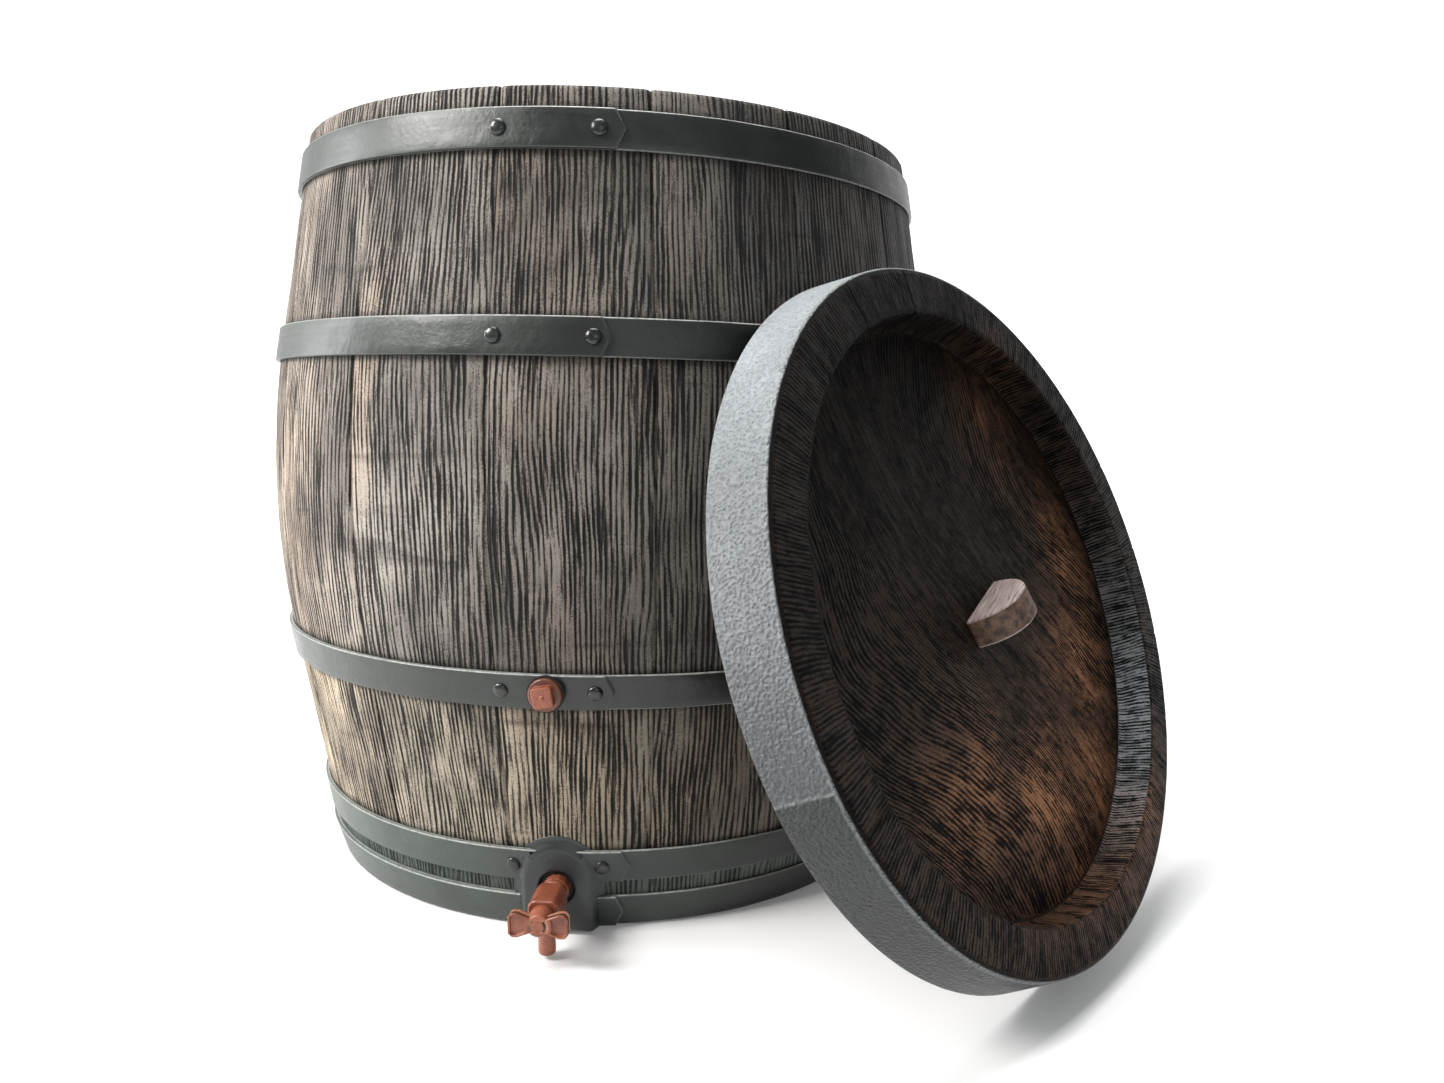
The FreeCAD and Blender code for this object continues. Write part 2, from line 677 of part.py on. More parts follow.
def inner_washer(name, radius, bore, height, flat):
    """Rubber washer inside the cask: its back follows the wall, its front is flat."""
    disc = rod(name + "_disc", radius, as_size(30), front_facing(0, -flat, height))
    hole = rod(name + "_bore", bore, as_size(60), front_facing(0, -flat + 10, height))
    return cut(name + "_bored", common(name + "_shaped", disc, cavity), hole)


tail_in = size("tail_radius") + 0.05
tap_inner = inner_washer("tap_inner", size("washer_radius"), size("tail_radius") + size("hole_gap"),
                         SIZES["tap_height"], TAP_FLAT.value)
tap_nut = bored_hex("tap_nut_solid", size("nut_flats"), size("nut_thick"), tail_in,
                    front_facing(0, -TAP_FLAT.value + SIZES["nut_thick"], SIZES["tap_height"]))
gasket = turned("gasket_solid", [
    (size("tail_radius") + 0.05, -size("recess_depth")), (size("gasket_radius"), -size("recess_depth")),
    (size("gasket_radius"), SEAT), (size("tail_radius") + 0.05, SEAT)])
gasket.Placement = tap_place()
tap = tap_body()
valve = cut("tap_valve_drilled", tap_valve(),
            rod("valve_screw_hole", size("screw_radius"), as_size(30), tap_place(BLOCK_END.value - 5)))
ring = o_ring()
handle = tap_handle()
screw = handle_screw()

# ------------------------------------------------------------------ build: side plug
LEAN = (lower_radius(KNEE_LOW) - lower_radius(size("hoop_lower_base"))) / size("strap_height")
PLUG_MIDDLE = size("hoop_lower_base") + size("strap_height") / 2
HOOP_SKIN = lower_radius(PLUG_MIDDLE) + size("strap_thick") * 2
WASHER_BACK = HOOP_SKIN + LEAN * size("plug_washer") + size("seat_gap")
WASHER_FRONT = WASHER_BACK + size("plug_washer_thick")
PLUG_FLAT = lower_radius(PLUG_MIDDLE - size("washer_radius")) - size("wall") - size("washer_thick")
PLUG_END = PLUG_FLAT - size("nut_thick") + size("plug_spare") - WASHER_FRONT
plug_washer = turned("plug_washer_solid", [
    (size("plug_radius") + 0.05, 0), (size("plug_washer"), 0),
    (size("plug_washer"), size("plug_washer_thick")),
    (size("plug_radius") + 0.05, size("plug_washer_thick"))])
plug_washer.Placement = front_facing(0, -WASHER_BACK.value, PLUG_HEIGHT)


def plug_solid():
    body = make_body("drain_plug_solid")
    stem = new_sketch(body, "plug_outline", "XZ_Plane")
    radius = size("plug_radius")
    flange = size("plug_flange")
    thick = size("plug_flange_thick")
    polygon(stem, [(0, PLUG_END), (radius - 1, PLUG_END), (radius, PLUG_END + 1),
                   (radius, 0), (flange, 0), (flange, thick * 0.7),
                   (flange - thick * 0.3, thick), (0, thick)])
    revolve(body, stem, "plug_turned")
    head = new_sketch(body, "plug_head_outline", "XY_Plane", thick)
    half = size("plug_head") / 2
    edge = size("plug_head") / 8
    polygon(head, [(-half, -half + edge), (-half + edge, -half), (half - edge, -half), (half, -half + edge),
                   (half, half - edge), (half - edge, half), (-half + edge, half), (-half, half - edge)])
    pad(body, head, "plug_head_block", size("plug_head_height"))
    pip = new_sketch(body, "plug_pip_outline", "XY_Plane", thick + size("plug_head_height"))
    circle(pip, 0, 0, as_size(1.6))
    pad(body, pip, "plug_pip", as_size(0.8))
    body.Placement = front_facing(0, -WASHER_FRONT.value, PLUG_HEIGHT)
    return body


plug = plug_solid()
plug_inner = inner_washer("plug_inner", size("washer_radius") - 2, size("plug_radius") + size("hole_gap"),
                          PLUG_HEIGHT, PLUG_FLAT.value)
plug_nut = bored_hex("plug_nut_solid", size("nut_flats") - 3, size("nut_thick"), size("plug_radius") + 0.05,
                     front_facing(0, -PLUG_FLAT.value + SIZES["nut_thick"], PLUG_HEIGHT))

# ------------------------------------------------------------------ build: lid
HOOP_EDGE = size("hoop_top_base") + size("strap_height")
LID_SKIN = upper_radius(HOOP_EDGE) + size("lid_fit") + size("lid_wall")
LID_RADIUS = LID_SKIN + size("lid_band_thick")


def cask_reach(height):
    """Plain number: radius of the cask with its bands at a height."""
    height = min(max(height, 0.0), HEIGHT.value)
    if height < BAND_TOP.value:
        return foot_radius_at(as_size(height)).value + SIZES["base_band_thick"] * 2
    if height < KNEE_LOW.value:
        skin = lower_radius(as_size(height)).value
    elif height < KNEE_HIGH.value:
        skin = curve_radius(as_size(height)).value
    else:
        skin = upper_radius(as_size(height)).value
    for word in ("hoop_bottom_base", "hoop_lower_base", "hoop_upper_base", "hoop_top_base"):
        if SIZES[word] <= height <= SIZES[word] + SIZES["strap_height"]:
            skin = skin + 2 * SIZES["strap_thick"]
    return skin


def leaning_place():
    """The lid stands on its skirt's edge and leans back until it nearly meets the cask."""
    turn = FreeCAD.Rotation(V(0, 0, 1), SIZES["lid_turn"])
    axis = turn * FreeCAD.Rotation(V(1, 0, 0), 90 - SIZES["lid_tip"])
    tip = math.radians(SIZES["lid_tip"])
    lift = SIZES["lid_skirt"] * math.sin(tip) + LID_RADIUS.value * math.cos(tip)
    around = math.radians(SIZES["lid_around"])
    edge = []
    for k in range(720):
        angle = math.radians(k / 2)
        point = V(LID_RADIUS.value * math.cos(angle), LID_RADIUS.value * math.sin(angle), -SIZES["lid_skirt"])
        edge.append(axis.multVec(point) + V(0, 0, lift))
    near = 0.0
    far = 3 * BELLY.value
    for step in range(40):
        middle = (near + far) / 2
        move = V(middle * math.sin(around), -middle * math.cos(around), 0)
        gap = min(math.hypot(p.x + move.x, p.y + move.y) - cask_reach(p.z) for p in edge)
        if gap > SIZES["lean_gap"]:
            far = middle
        else:
            near = middle
    return FreeCAD.Placement(V(far * math.sin(around), -far * math.cos(around), lift), axis)


LID = leaning_place()


def lid_skin(height):
    """Outer radius of the lid's own wall, which tapers from the skirt's edge to the face."""
    return LID_SKIN - size("lid_top_inset") * ((height + size("lid_skirt")) / size("lid_skirt"))


def lid_shell():
    """Cap with a raised rim ring, a dished face and a skirt; own Z axis is the outward normal."""
    w = size("lid_wall")
    dish = -size("lid_dish_depth")
    crown = dish + size("lid_dome")
    inner = size("lid_rim_inner")
    floor_edge = size("lid_dish_radius")
    skirt = -size("lid_skirt")
    fall = crown - size("lid_dome") * 0.3
    outline = [
        (0, crown), (size("grip_seat"), crown), (floor_edge * 0.55, fall), (floor_edge, dish),
        (inner - 1.5, dish + 2.5), (inner, -1.5), (inner + 2, 0), (lid_skin(ZERO) - 1.5, 0),
        (lid_skin(ZERO - 1.5), -1.5), (LID_SKIN, skirt), (LID_SKIN - w, skirt), (lid_skin(-w) - w, -w),
        (inner + w, -w), (inner + w - 1.0, dish + 1.0), (floor_edge + w, dish - w),
        (floor_edge * 0.55, fall - w), (size("grip_seat"), crown - w), (0, crown - w)]
    body = turned("lid_shell_solid", outline)
    body.Placement = LID
    return body


def lid_band():
    """Conical band round the skirt."""
    low = -size("lid_skirt")
    high = low + size("lid_band_height")
    thick = size("lid_band_thick")
    body = turned("lid_band_ring", [
        (LID_SKIN, low), (LID_RADIUS, low), (lid_skin(high - 1) + thick, high - 1),
        (lid_skin(high) + thick - 1, high), (lid_skin(high), high)])
    body.Placement = LID
    return body


GRIP = LID.multiply(FreeCAD.Placement(V(0, 0, 0), FreeCAD.Rotation(V(0, 0, 1), SIZES["grip_turn"])))
SEAT_FACE = size("lid_dome") - size("lid_dish_depth")


def lid_grip():
    """Half-round grip tab standing on the middle of the dished face."""
    body = make_body("lid_grip_solid")
    outline = new_sketch(body, "grip_outline", "XZ_Plane")
    half = size("grip_width") / 2
    base = SEAT_FACE
    tall = size("grip_height")
    polygon(outline, [(-half, base), (half, base), (half * 1.0, base + tall * 0.3),
                      (half * 0.93, base + tall * 0.56), (half * 0.74, base + tall * 0.8),
                      (half * 0.42, base + tall * 0.96), (half * 0.1, base + tall),
                      (-half * 0.25, base + tall * 0.97), (-half * 0.58, base + tall * 0.84),
                      (-half * 0.82, base + tall * 0.62), (-half * 0.96, base + tall * 0.32)])
    pad(body, outline, "grip_block", size("grip_thick"), middle=True)
    for k, side in enumerate((-1, 1)):
        hole = new_sketch(body, "grip_hole_%d" % (k + 1), "XY_Plane", base)
        circle(hole, size("grip_screw_space") * (side / 2), 0, size("grip_screw"))
        pocket(body, hole, "grip_hole_cut_%d" % (k + 1), size("grip_screw_reach"), back=True)
    body.Placement = GRIP
    return body


def lid_screw(name, side):
    """Pan-head screw up through the lid into the grip."""
    radius = size("grip_screw")
    head = radius * 1.9
    under = SEAT_FACE - size("lid_wall")
    top = SEAT_FACE + size("grip_screw_reach")
    body = turned(name, [(0, under - 2), (head * 0.6, under - 2), (head, under - 1), (head, under),
                         (radius, under), (radius, top), (0, top)])
    offset = V(side * SIZES["grip_screw_space"] / 2, 0, 0)
    body.Placement = GRIP.multiply(FreeCAD.Placement(offset, FreeCAD.Rotation()))
    return body


def lid_drill(name, side):
    offset = V(side * SIZES["grip_screw_space"] / 2, 0, SEAT_FACE.value - SIZES["lid_wall"] - 1)
    place = GRIP.multiply(FreeCAD.Placement(offset, FreeCAD.Rotation()))
    return rod(name, size("grip_screw"), size("lid_wall") + 2, place)


lid = lid_shell()
band_of_lid = lid_band()
grip = lid_grip()
lid_screws = [lid_screw("lid_screw_%d" % (k + 1), side) for k, side in enumerate((-1, 1))]
lid_drills = [lid_drill("lid_drill_%d" % (k + 1), side) for k, side in enumerate((-1, 1))]
lid_cut = cut("lid_shell_drilled", lid, group("lid_drill_set", lid_drills))

doc.recompute()

# ------------------------------------------------------------------ the sub-parts
PIECES = [
    ("barrel_shell", shell_cut), ("hoop_top", hoops["hoop_top"]), ("hoop_upper", hoops["hoop_upper"]),
    ("hoop_lower", lower_cut), ("hoop_bottom", bottom_cut), ("base_band", band_cut),
    ("hoop_top_rivets", group("top_rivets", rivets["hoop_top"])),
    ("hoop_upper_rivets", group("upper_rivets", rivets["hoop_upper"])),
    ("hoop_lower_rivets", group("lower_rivets", rivets["hoop_lower"])),
    ("hoop_bottom_rivets", group("bottom_rivets", rivets["hoop_bottom"])),
    ("tap_housing", housing_cut), ("tap_gasket", gasket), ("tap_body", tap), ("tap_inner_washer", tap_inner),
    ("tap_back_nut", tap_nut), ("tap_valve", valve), ("tap_o_ring", ring), ("tap_handle", handle),
    ("tap_handle_screw", screw), ("plug_washer", plug_washer), ("drain_plug", plug),
    ("plug_inner_washer", plug_inner), ("plug_back_nut", plug_nut),
    ("lid_shell", lid_cut), ("lid_band", band_of_lid), ("lid_handle", grip),
    ("lid_handle_screws", group("lid_screw_pair", lid_screws)),
]
doc.recompute()

os.makedirs("parts", exist_ok=True)
for obj in doc.Objects:
    if "Invalid" in obj.State or "Error" in obj.State:
        raise RuntimeError("broken feature: " + obj.Name + " " + str(obj.State))
for label, piece in PIECES:
    piece.Label = label
    if piece.Shape.isNull() or not piece.Shape.isValid():
        raise RuntimeError("bad shape: " + label)
    piece.Shape.exportStep("parts/" + label + ".step")
print("built", len(PIECES), "sub-parts")
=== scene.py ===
"""Rain barrel: detailed pieces, materials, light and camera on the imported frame."""
import bpy
import math
import numpy as np
from mathutils import Matrix, Vector


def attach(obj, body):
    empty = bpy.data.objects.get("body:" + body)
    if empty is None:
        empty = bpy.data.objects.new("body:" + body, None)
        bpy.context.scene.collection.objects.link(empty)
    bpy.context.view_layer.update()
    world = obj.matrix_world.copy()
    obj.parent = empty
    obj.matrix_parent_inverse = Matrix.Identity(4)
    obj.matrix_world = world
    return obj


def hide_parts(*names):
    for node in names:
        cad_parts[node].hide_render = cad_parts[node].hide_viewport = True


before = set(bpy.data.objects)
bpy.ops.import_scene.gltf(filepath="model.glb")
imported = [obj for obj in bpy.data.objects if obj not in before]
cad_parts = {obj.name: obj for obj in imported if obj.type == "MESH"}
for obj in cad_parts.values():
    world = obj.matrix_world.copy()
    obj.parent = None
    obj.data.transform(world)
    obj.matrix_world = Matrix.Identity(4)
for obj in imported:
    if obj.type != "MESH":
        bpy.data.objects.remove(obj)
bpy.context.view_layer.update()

PI2 = 2 * math.pi
rng = np.random.default_rng(7)

# ------------------------------------------------------------------ the cask's own sizes, in metres
HEIGHT = 0.563
BELLY = 0.280       # widest radius, at the height MIDDLE
CURVE = 0.700       # radius of the bowed outline
MIDDLE = 0.285
RIM = 0.2395
WALL = 0.005
FOOT = 0.2415
BAND_TOP = 0.027    # top of the base band, where the cask is BAND_R in radius
BAND_R = 0.249
HOOP_H = 0.0245
THICK = 0.0022
HOOPS = {"hoop_top": 0.524, "hoop_upper": 0.399, "hoop_lower": 0.172, "hoop_bottom": 0.039}
KNEE_LOW = HOOPS["hoop_lower"] + HOOP_H
KNEE_HIGH = HOOPS["hoop_upper"]
STAVES = 16
HALF_STAVE = math.pi / STAVES
STAVE_TURN = math.radians(3.6)
AROUND = 0.26       # radius that turns angles into lengths of grain
HOUSE_FRONT = 0.259
HOUSE_HALF = 0.026
GROUND_GAP = 0.001
TAP_Z = 0.036
PLUG_Z = HOOPS["hoop_lower"] + HOOP_H / 2


def cask_radius(z):
    """Outer radius at a height: a straight foot and lower part, the bow, and a straight upper part."""
    z = np.asarray(z, dtype=float)
    bow = BELLY - CURVE + np.sqrt(np.maximum(CURVE ** 2 - (z - MIDDLE) ** 2, 0))
    low = BELLY - CURVE + math.sqrt(CURVE ** 2 - (KNEE_LOW - MIDDLE) ** 2)
    high = BELLY - CURVE + math.sqrt(CURVE ** 2 - (KNEE_HIGH - MIDDLE) ** 2)
    lower = BAND_R + (low - BAND_R) * (z - BAND_TOP) / (KNEE_LOW - BAND_TOP)
    upper = high + (RIM - high) * (z - KNEE_HIGH) / (HEIGHT - KNEE_HIGH)
    foot = FOOT + (BAND_R - FOOT) * z / BAND_TOP
    return np.where(z < BAND_TOP, foot, np.where(z < KNEE_LOW, lower, np.where(z < KNEE_HIGH, bow, upper)))


# ------------------------------------------------------------------ mesh helpers
def add_mesh(name, points, faces, body, node, attr, mat):
    """A smooth-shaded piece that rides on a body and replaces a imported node."""
    mesh = bpy.data.meshes.new(name)
    mesh.from_pydata([tuple(p) for p in points], [], [tuple(f) for f in faces])
    mesh.validate()
    mesh.polygons.foreach_set("use_smooth", [True] * len(mesh.polygons))
    layer = mesh.attributes.new("grain", "FLOAT_VECTOR", "POINT")
    layer.data.foreach_set("vector", np.asarray(attr, dtype=np.float32).ravel())
    mesh.update()
    obj = bpy.data.objects.new(name, mesh)
    bpy.context.scene.collection.objects.link(obj)
    mesh.materials.append(mat)
    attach(obj, body)
    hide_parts(node)


def grid_faces(rows, cols, close_cols, close_rows=False):
    """Four-cornered faces of a grid of points, row after row."""
    r = np.arange(rows if close_rows else rows - 1)
    c = np.arange(cols if close_cols else cols - 1)
    rr, cc = np.meshgrid(r, c, indexing="ij")
    a = rr * cols + cc
    b = rr * cols + (cc + 1) % cols
    d = ((rr + 1) % rows) * cols + cc
    e = ((rr + 1) % rows) * cols + (cc + 1) % cols
    return np.stack([a, b, e, d], -1).reshape(-1, 4)


def smooth_noise(x, y, seed, octaves=3):
    """Cheap repeatable value noise for geometry, from sums of turned sine waves."""
    gen = np.random.default_rng(seed)
    total = np.zeros(np.broadcast(x, y).shape)
    size = 1.0
    for _ in range(octaves):
        for _ in range(4):
            a, b, p = gen.uniform(-1, 1), gen.uniform(-1, 1), gen.uniform(0, PI2)
            total = total + size * np.sin(PI2 * (a * x + b * y) + p)
        x = x * 2.1
        y = y * 2.1
        size *= 0.5
    return total / 8.0


def arc_point(radius, angle, z):
    """angle is measured from the tap line, -Y, towards +X."""
    return np.stack([radius * np.sin(angle), -radius * np.cos(angle), z], -1)


# ------------------------------------------------------------------ node helpers
class Nodes:
    def __init__(self, name):
        self.mat = bpy.data.materials.new(name)
        self.mat.use_nodes = True
        self.tree = self.mat.node_tree
        self.tree.nodes.clear()
        self.out = self.tree.nodes.new("ShaderNodeOutputMaterial")
        self.bsdf = self.tree.nodes.new("ShaderNodeBsdfPrincipled")
        self.tree.links.new(self.bsdf.outputs[0], self.out.inputs[0])

    def link(self, a, b):
        self.tree.links.new(a, b)

    def put(self, socket, value):
        if isinstance(value, bpy.types.NodeSocket):
            self.link(value, socket)
        else:
            socket.default_value = value

    def math(self, op, a, b=0.0, c=None, clamp=False):
        node = self.tree.nodes.new("ShaderNodeMath")
        node.operation = op
        node.use_clamp = clamp
        self.put(node.inputs[0], a)
        self.put(node.inputs[1], b)
        if c is not None:
            self.put(node.inputs[2], c)
        return node.outputs[0]

    def coords(self):
        return self.tree.nodes.new("ShaderNodeTexCoord").outputs["Object"]

    def grain(self):
        node = self.tree.nodes.new("ShaderNodeAttribute")
        node.attribute_name = "grain"
        return node.outputs["Vector"]

    def split(self, vec):
        node = self.tree.nodes.new("ShaderNodeSeparateXYZ")
        self.link(vec, node.inputs[0])
        return node.outputs

    def stretch(self, vec, factors, shift=(0, 0, 0)):
        """The vector with each part multiplied by its own factor, then shifted."""
        node = self.tree.nodes.new("ShaderNodeVectorMath")
        node.operation = "MULTIPLY_ADD"
        self.link(vec, node.inputs[0])
        node.inputs[1].default_value = factors
        node.inputs[2].default_value = shift
        return node.outputs["Vector"]

    def dot(self, vec, axis):
        node = self.tree.nodes.new("ShaderNodeVectorMath")
        node.operation = "DOT_PRODUCT"
        self.put(node.inputs[0], vec)
        self.put(node.inputs[1], axis)
        return node.outputs["Value"]

    def join(self, x, y, z):
        node = self.tree.nodes.new("ShaderNodeCombineXYZ")
        for socket, value in zip(node.inputs, (x, y, z)):
            self.put(socket, value)
        return node.outputs[0]

    def noise(self, vec, scale, detail=3.0, rough=0.5, warp=0.0):
        node = self.tree.nodes.new("ShaderNodeTexNoise")
        self.link(vec, node.inputs["Vector"])
        node.inputs["Scale"].default_value = scale
        node.inputs["Detail"].default_value = detail
        node.inputs["Roughness"].default_value = rough
        node.inputs["Distortion"].default_value = warp
        return node.outputs["Fac"]

    def ramp(self, fac, stops, ease="EASE"):
        node = self.tree.nodes.new("ShaderNodeValToRGB")
        ramp = node.color_ramp
        ramp.interpolation = ease
        while len(ramp.elements) < len(stops):
            ramp.elements.new(0.5)
        for element, (pos, col) in zip(ramp.elements, stops):
            element.position = pos
            element.color = (*col, 1)
        self.link(fac, node.inputs[0])
        return node.outputs[0]

    def value_ramp(self, fac, stops, ease="LINEAR"):
        return self.ramp(fac, [(p, (v, v, v)) for p, v in stops], ease)

    def mix(self, fac, a, b, mode="MIX"):
        node = self.tree.nodes.new("ShaderNodeMix")
        node.data_type = "RGBA"
        node.blend_type = mode
        self.put(node.inputs[0], fac)
        for socket, value in ((node.inputs[6], a), (node.inputs[7], b)):
            self.put(socket, (*value, 1) if isinstance(value, tuple) else value)
        return node.outputs[2]

    def multiply(self, colour, shade):
        return self.mix(1.0, colour, shade, "MULTIPLY")

    def tint(self, colour, mask, shade):
        """The colour, multiplied by a shade where the mask is 1."""
        return self.mix(mask, colour, self.multiply(colour, shade))

    def finish(self, **inputs):
        """Sets or links the surface's inputs, named with _ for a space, and returns the material."""
        for name, value in inputs.items():
            self.put(self.bsdf.inputs[name.replace("_", " ")], value)
        return self.mat

    def bump(self, height, distance, normal=None):
        node = self.tree.nodes.new("ShaderNodeBump")
        node.inputs["Strength"].default_value = 1.0
        node.inputs["Distance"].default_value = distance
        self.link(height, node.inputs["Height"])
        if normal is not None:
            self.link(normal, node.inputs["Normal"])
        return node.outputs[0]

    def edge_mask(self, radius):
        """1 on sharp edges and 0 on flats, with the rounded normal that it comes from."""
        bevel = self.tree.nodes.new("ShaderNodeBevel")
        bevel.samples = 6
        bevel.inputs["Radius"].default_value = radius
        geo = self.tree.nodes.new("ShaderNodeNewGeometry")
        flat = self.dot(bevel.outputs[0], geo.outputs["True Normal"])
        return self.math("SUBTRACT", 1.0, flat, clamp=True), bevel.outputs[0]


def rgb(r, g, b):
    """sRGB 0-255 to linear."""
    out = []
    for v in (r, g, b):
        v = v / 255.0
        out.append(v / 12.92 if v <= 0.04045 else ((v + 0.055) / 1.055) ** 2.4)
    return tuple(out)


# ------------------------------------------------------------------ materials
def grain_lines(n, grain, spacing, wander, across, along):
    """Sine of a phase that runs across the grain and wanders, so its lines join and part."""
    phase = n.math("MULTIPLY", n.split(grain)[0], PI2 / spacing)
    for amount, stretch in ((wander, (across, along, 1.0)),
                            (wander * 0.22, (across * 3.4, along * 3.2, 1.7)),
                            (0.42, (across * 13, along * 11, 0.7))):
        wave = n.math("SUBTRACT", n.noise(n.stretch(grain, stretch), 1.0, 2.0), 0.5)
        phase = n.math("MULTIPLY_ADD", wave, amount * PI2, phase)
    return n.math("SINE", phase)


def wood(name, tones, spacing, wander, contrast=1.0, across=10.0, along=3.2, fine=700.0, length=14.0):
    """Moulded wood: grain.x is metres across the stave, grain.y metres along it, grain.z its number."""
    n = Nodes(name)
    dark, middle, light = tones
    grain = n.grain()
    streak = n.noise(n.stretch(grain, (fine, length, 3.1)), 1.0, 3.0, 0.6, 0.15)
    thick = n.noise(n.stretch(grain, (60.0, 12.0, 1.0)), 1.0, 2.0)
    broken = n.noise(n.stretch(grain, (fine * 0.45, length * 2.6, 5.3)), 1.0, 2.0, 0.5, 0.4)
    speck = n.noise(n.coords(), 820.0, 3.0, 0.75)
    total = n.math("MULTIPLY", grain_lines(n, grain, spacing, wander, across, along), 0.72)
    for noise, amount in ((streak, 4.6), (broken, 2.4), (thick, 2.6)):
        total = n.math("MULTIPLY_ADD", n.math("SUBTRACT", noise, 0.5), amount, total)
    total = n.math("MULTIPLY_ADD", total, 0.25, 0.5)
    ridge = n.value_ramp(total, [(0.20, 0.0), (0.36, 0.30), (0.50, 0.80), (0.80, 1.0)])
    height = n.math("MULTIPLY_ADD", n.math("SUBTRACT", speck, 0.5), 1.05, ridge)
    calm = n.math("MULTIPLY_ADD", n.math("SUBTRACT", height, 0.62), contrast, 0.62)
    dusk = tuple(0.62 * a + 0.38 * b for a, b in zip(dark, middle))
    colour = n.ramp(calm, [(0.04, dark), (0.34, dusk), (0.70, middle), (1.0, light)])
    return n, colour, height, grain


def finish_wood(n, colour, height, depth, rough=0.62, spec=0.35):
    roughness = n.value_ramp(height, [(0.1, min(rough + 0.22, 0.95)), (0.9, rough - 0.08)])
    return n.finish(Base_Color=colour, Roughness=roughness, Specular_IOR_Level=spec,
                    Normal=n.bump(height, depth))


def near_edge(n, z, edges, reach):
    """1 beside any of the heights in edges, fading to 0 over reach."""
    out = 0.0
    for edge in edges:
        gap = n.math("ABSOLUTE", n.math("SUBTRACT", z, edge))
        out = n.math("MAXIMUM", out, n.math("SUBTRACT", 1.0, n.math("DIVIDE", gap, reach), clamp=True))
    return out


def cask_wood():
    tones = (rgb(11, 9, 8), rgb(90, 83, 77), rgb(176, 168, 158))
    n, colour, height, grain = wood("cask_staves", tones, 0.0037, 9.0, 1.2)
    warm = n.noise(n.stretch(grain, (6.0, 3.4, 0.8)), 1.0, 3.0, 0.55, 0.4)
    soot = n.noise(n.stretch(grain, (9.0, 8.0, 1.3)), 1.0, 4.0, 0.6, 0.3)
    smudge = n.noise(n.stretch(grain, (5.0, 34.0, 0.0), (0, 0, 4.0)), 1.0, 3.0, 0.6, 0.3)
    colour = n.tint(colour, n.value_ramp(warm, [(0.50, 0.0), (0.66, 0.8)]), (1.04, 0.90, 0.79))
    colour = n.tint(colour, n.value_ramp(soot, [(0.38, 0.9), (0.58, 0.0)]), (0.34, 0.33, 0.33))
    colour = n.tint(colour, n.value_ramp(smudge, [(0.28, 0.75), (0.40, 0.0)]), (0.30, 0.29, 0.29))
    # painted light and shade: paler on the left and dark on the right, with painted warm light at the far
    # left; warm and paler below the lower hoop
    place = n.split(n.coords())
    across, up = n.math("MULTIPLY_ADD", place[0], 1.8, 0.5), place[2]
    side = [(0.0, 1.35), (0.18, 1.20), (0.40, 0.82), (0.56, 0.56), (0.70, 0.34), (1.0, 0.12)]
    colour = n.multiply(colour, n.value_ramp(across, side))
    colour = n.tint(colour, n.value_ramp(across, [(0.06, 0.9), (0.30, 0.0)]), (1.12, 0.98, 0.84))
    colour = n.tint(colour, n.value_ramp(up, [(0.05, 1.0), (0.17, 1.0), (0.20, 0.0)]), (1.42, 1.38, 1.22))
    # painted shade: the wood is darkened within 5 mm of each hoop's upper and lower edge
    edges = [base + rise for rise in (0, HOOP_H) for base in HOOPS.values()]
    band_edge_shade = n.math("MULTIPLY", near_edge(n, up, edges, 0.005), 0.85)
    colour = n.tint(colour, band_edge_shade, (0.22, 0.22, 0.22))
    # the foot, up to the bottom hoop, is the colour of the bands
    paint = n.value_ramp(up, [(0.0385, 1.0), (0.0395, 0.0)], "CONSTANT")
    green = n.mix(n.value_ramp(height, [(0.2, 0.0), (0.9, 1.0)]), rgb(40, 46, 43), rgb(96, 104, 98))
    colour = n.mix(paint, colour, green)
    # the inside, where grain.y is over 1, is plain
    inside = n.math("GREATER_THAN", n.split(grain)[1], 1.0)
    cloud = n.noise(n.coords(), 14.0, 4.0, 0.6)
    colour = n.mix(inside, colour, n.mix(cloud, rgb(34, 30, 28), rgb(58, 53, 49)))
    height = n.math("MULTIPLY", height, n.math("MULTIPLY_ADD", inside, -0.92, 1.0))
    return finish_wood(n, colour, height, 0.0017)


TURN, TIP = math.radians(51.9), math.radians(21.7)
OUT = Vector((math.cos(TIP) * math.sin(TURN), -math.cos(TIP) * math.cos(TURN), math.sin(TIP)))
ALONG = Vector((math.cos(TURN), math.sin(TURN), 0))
UP = OUT.cross(ALONG)


def lid_middle():
    """Middle of the lid's rim ring, level with its outer face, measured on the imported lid."""
    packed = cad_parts["lid_shell"]
    points = [packed.matrix_world @ v.co for v in packed.data.vertices]
    along, up, out = ([p.dot(axis) for p in points] for axis in (ALONG, UP, OUT))
    return ALONG * (min(along) + max(along)) / 2 + UP * (min(up) + max(up)) / 2 + OUT * max(out)


LID_AT = lid_middle()
# warm patches on the lid's face: (middle, reach), along its level line and up its slope
WARM = (((0.085, 0.135), (0.035, 0.05)), ((0.15, 0.02), (0.035, 0.07)), ((0.12, -0.06), (0.05, 0.05)),
        ((0.02, -0.14), (0.085, 0.06)), ((-0.06, -0.115), (0.055, 0.05)), ((0.105, -0.14), (0.04, 0.05)))


def blob(n, u, v, at, reach):
    """Soft oval spot: 1 at its middle, fading to 0."""
    du = n.math("DIVIDE", n.math("SUBTRACT", u, at[0]), reach[0])
    dv = n.math("DIVIDE", n.math("SUBTRACT", v, at[1]), reach[1])
    far = n.math("ADD", n.math("MULTIPLY", du, du), n.math("MULTIPLY", dv, dv))
    return n.math("POWER", 2.718, n.math("MULTIPLY", far, -1.0))


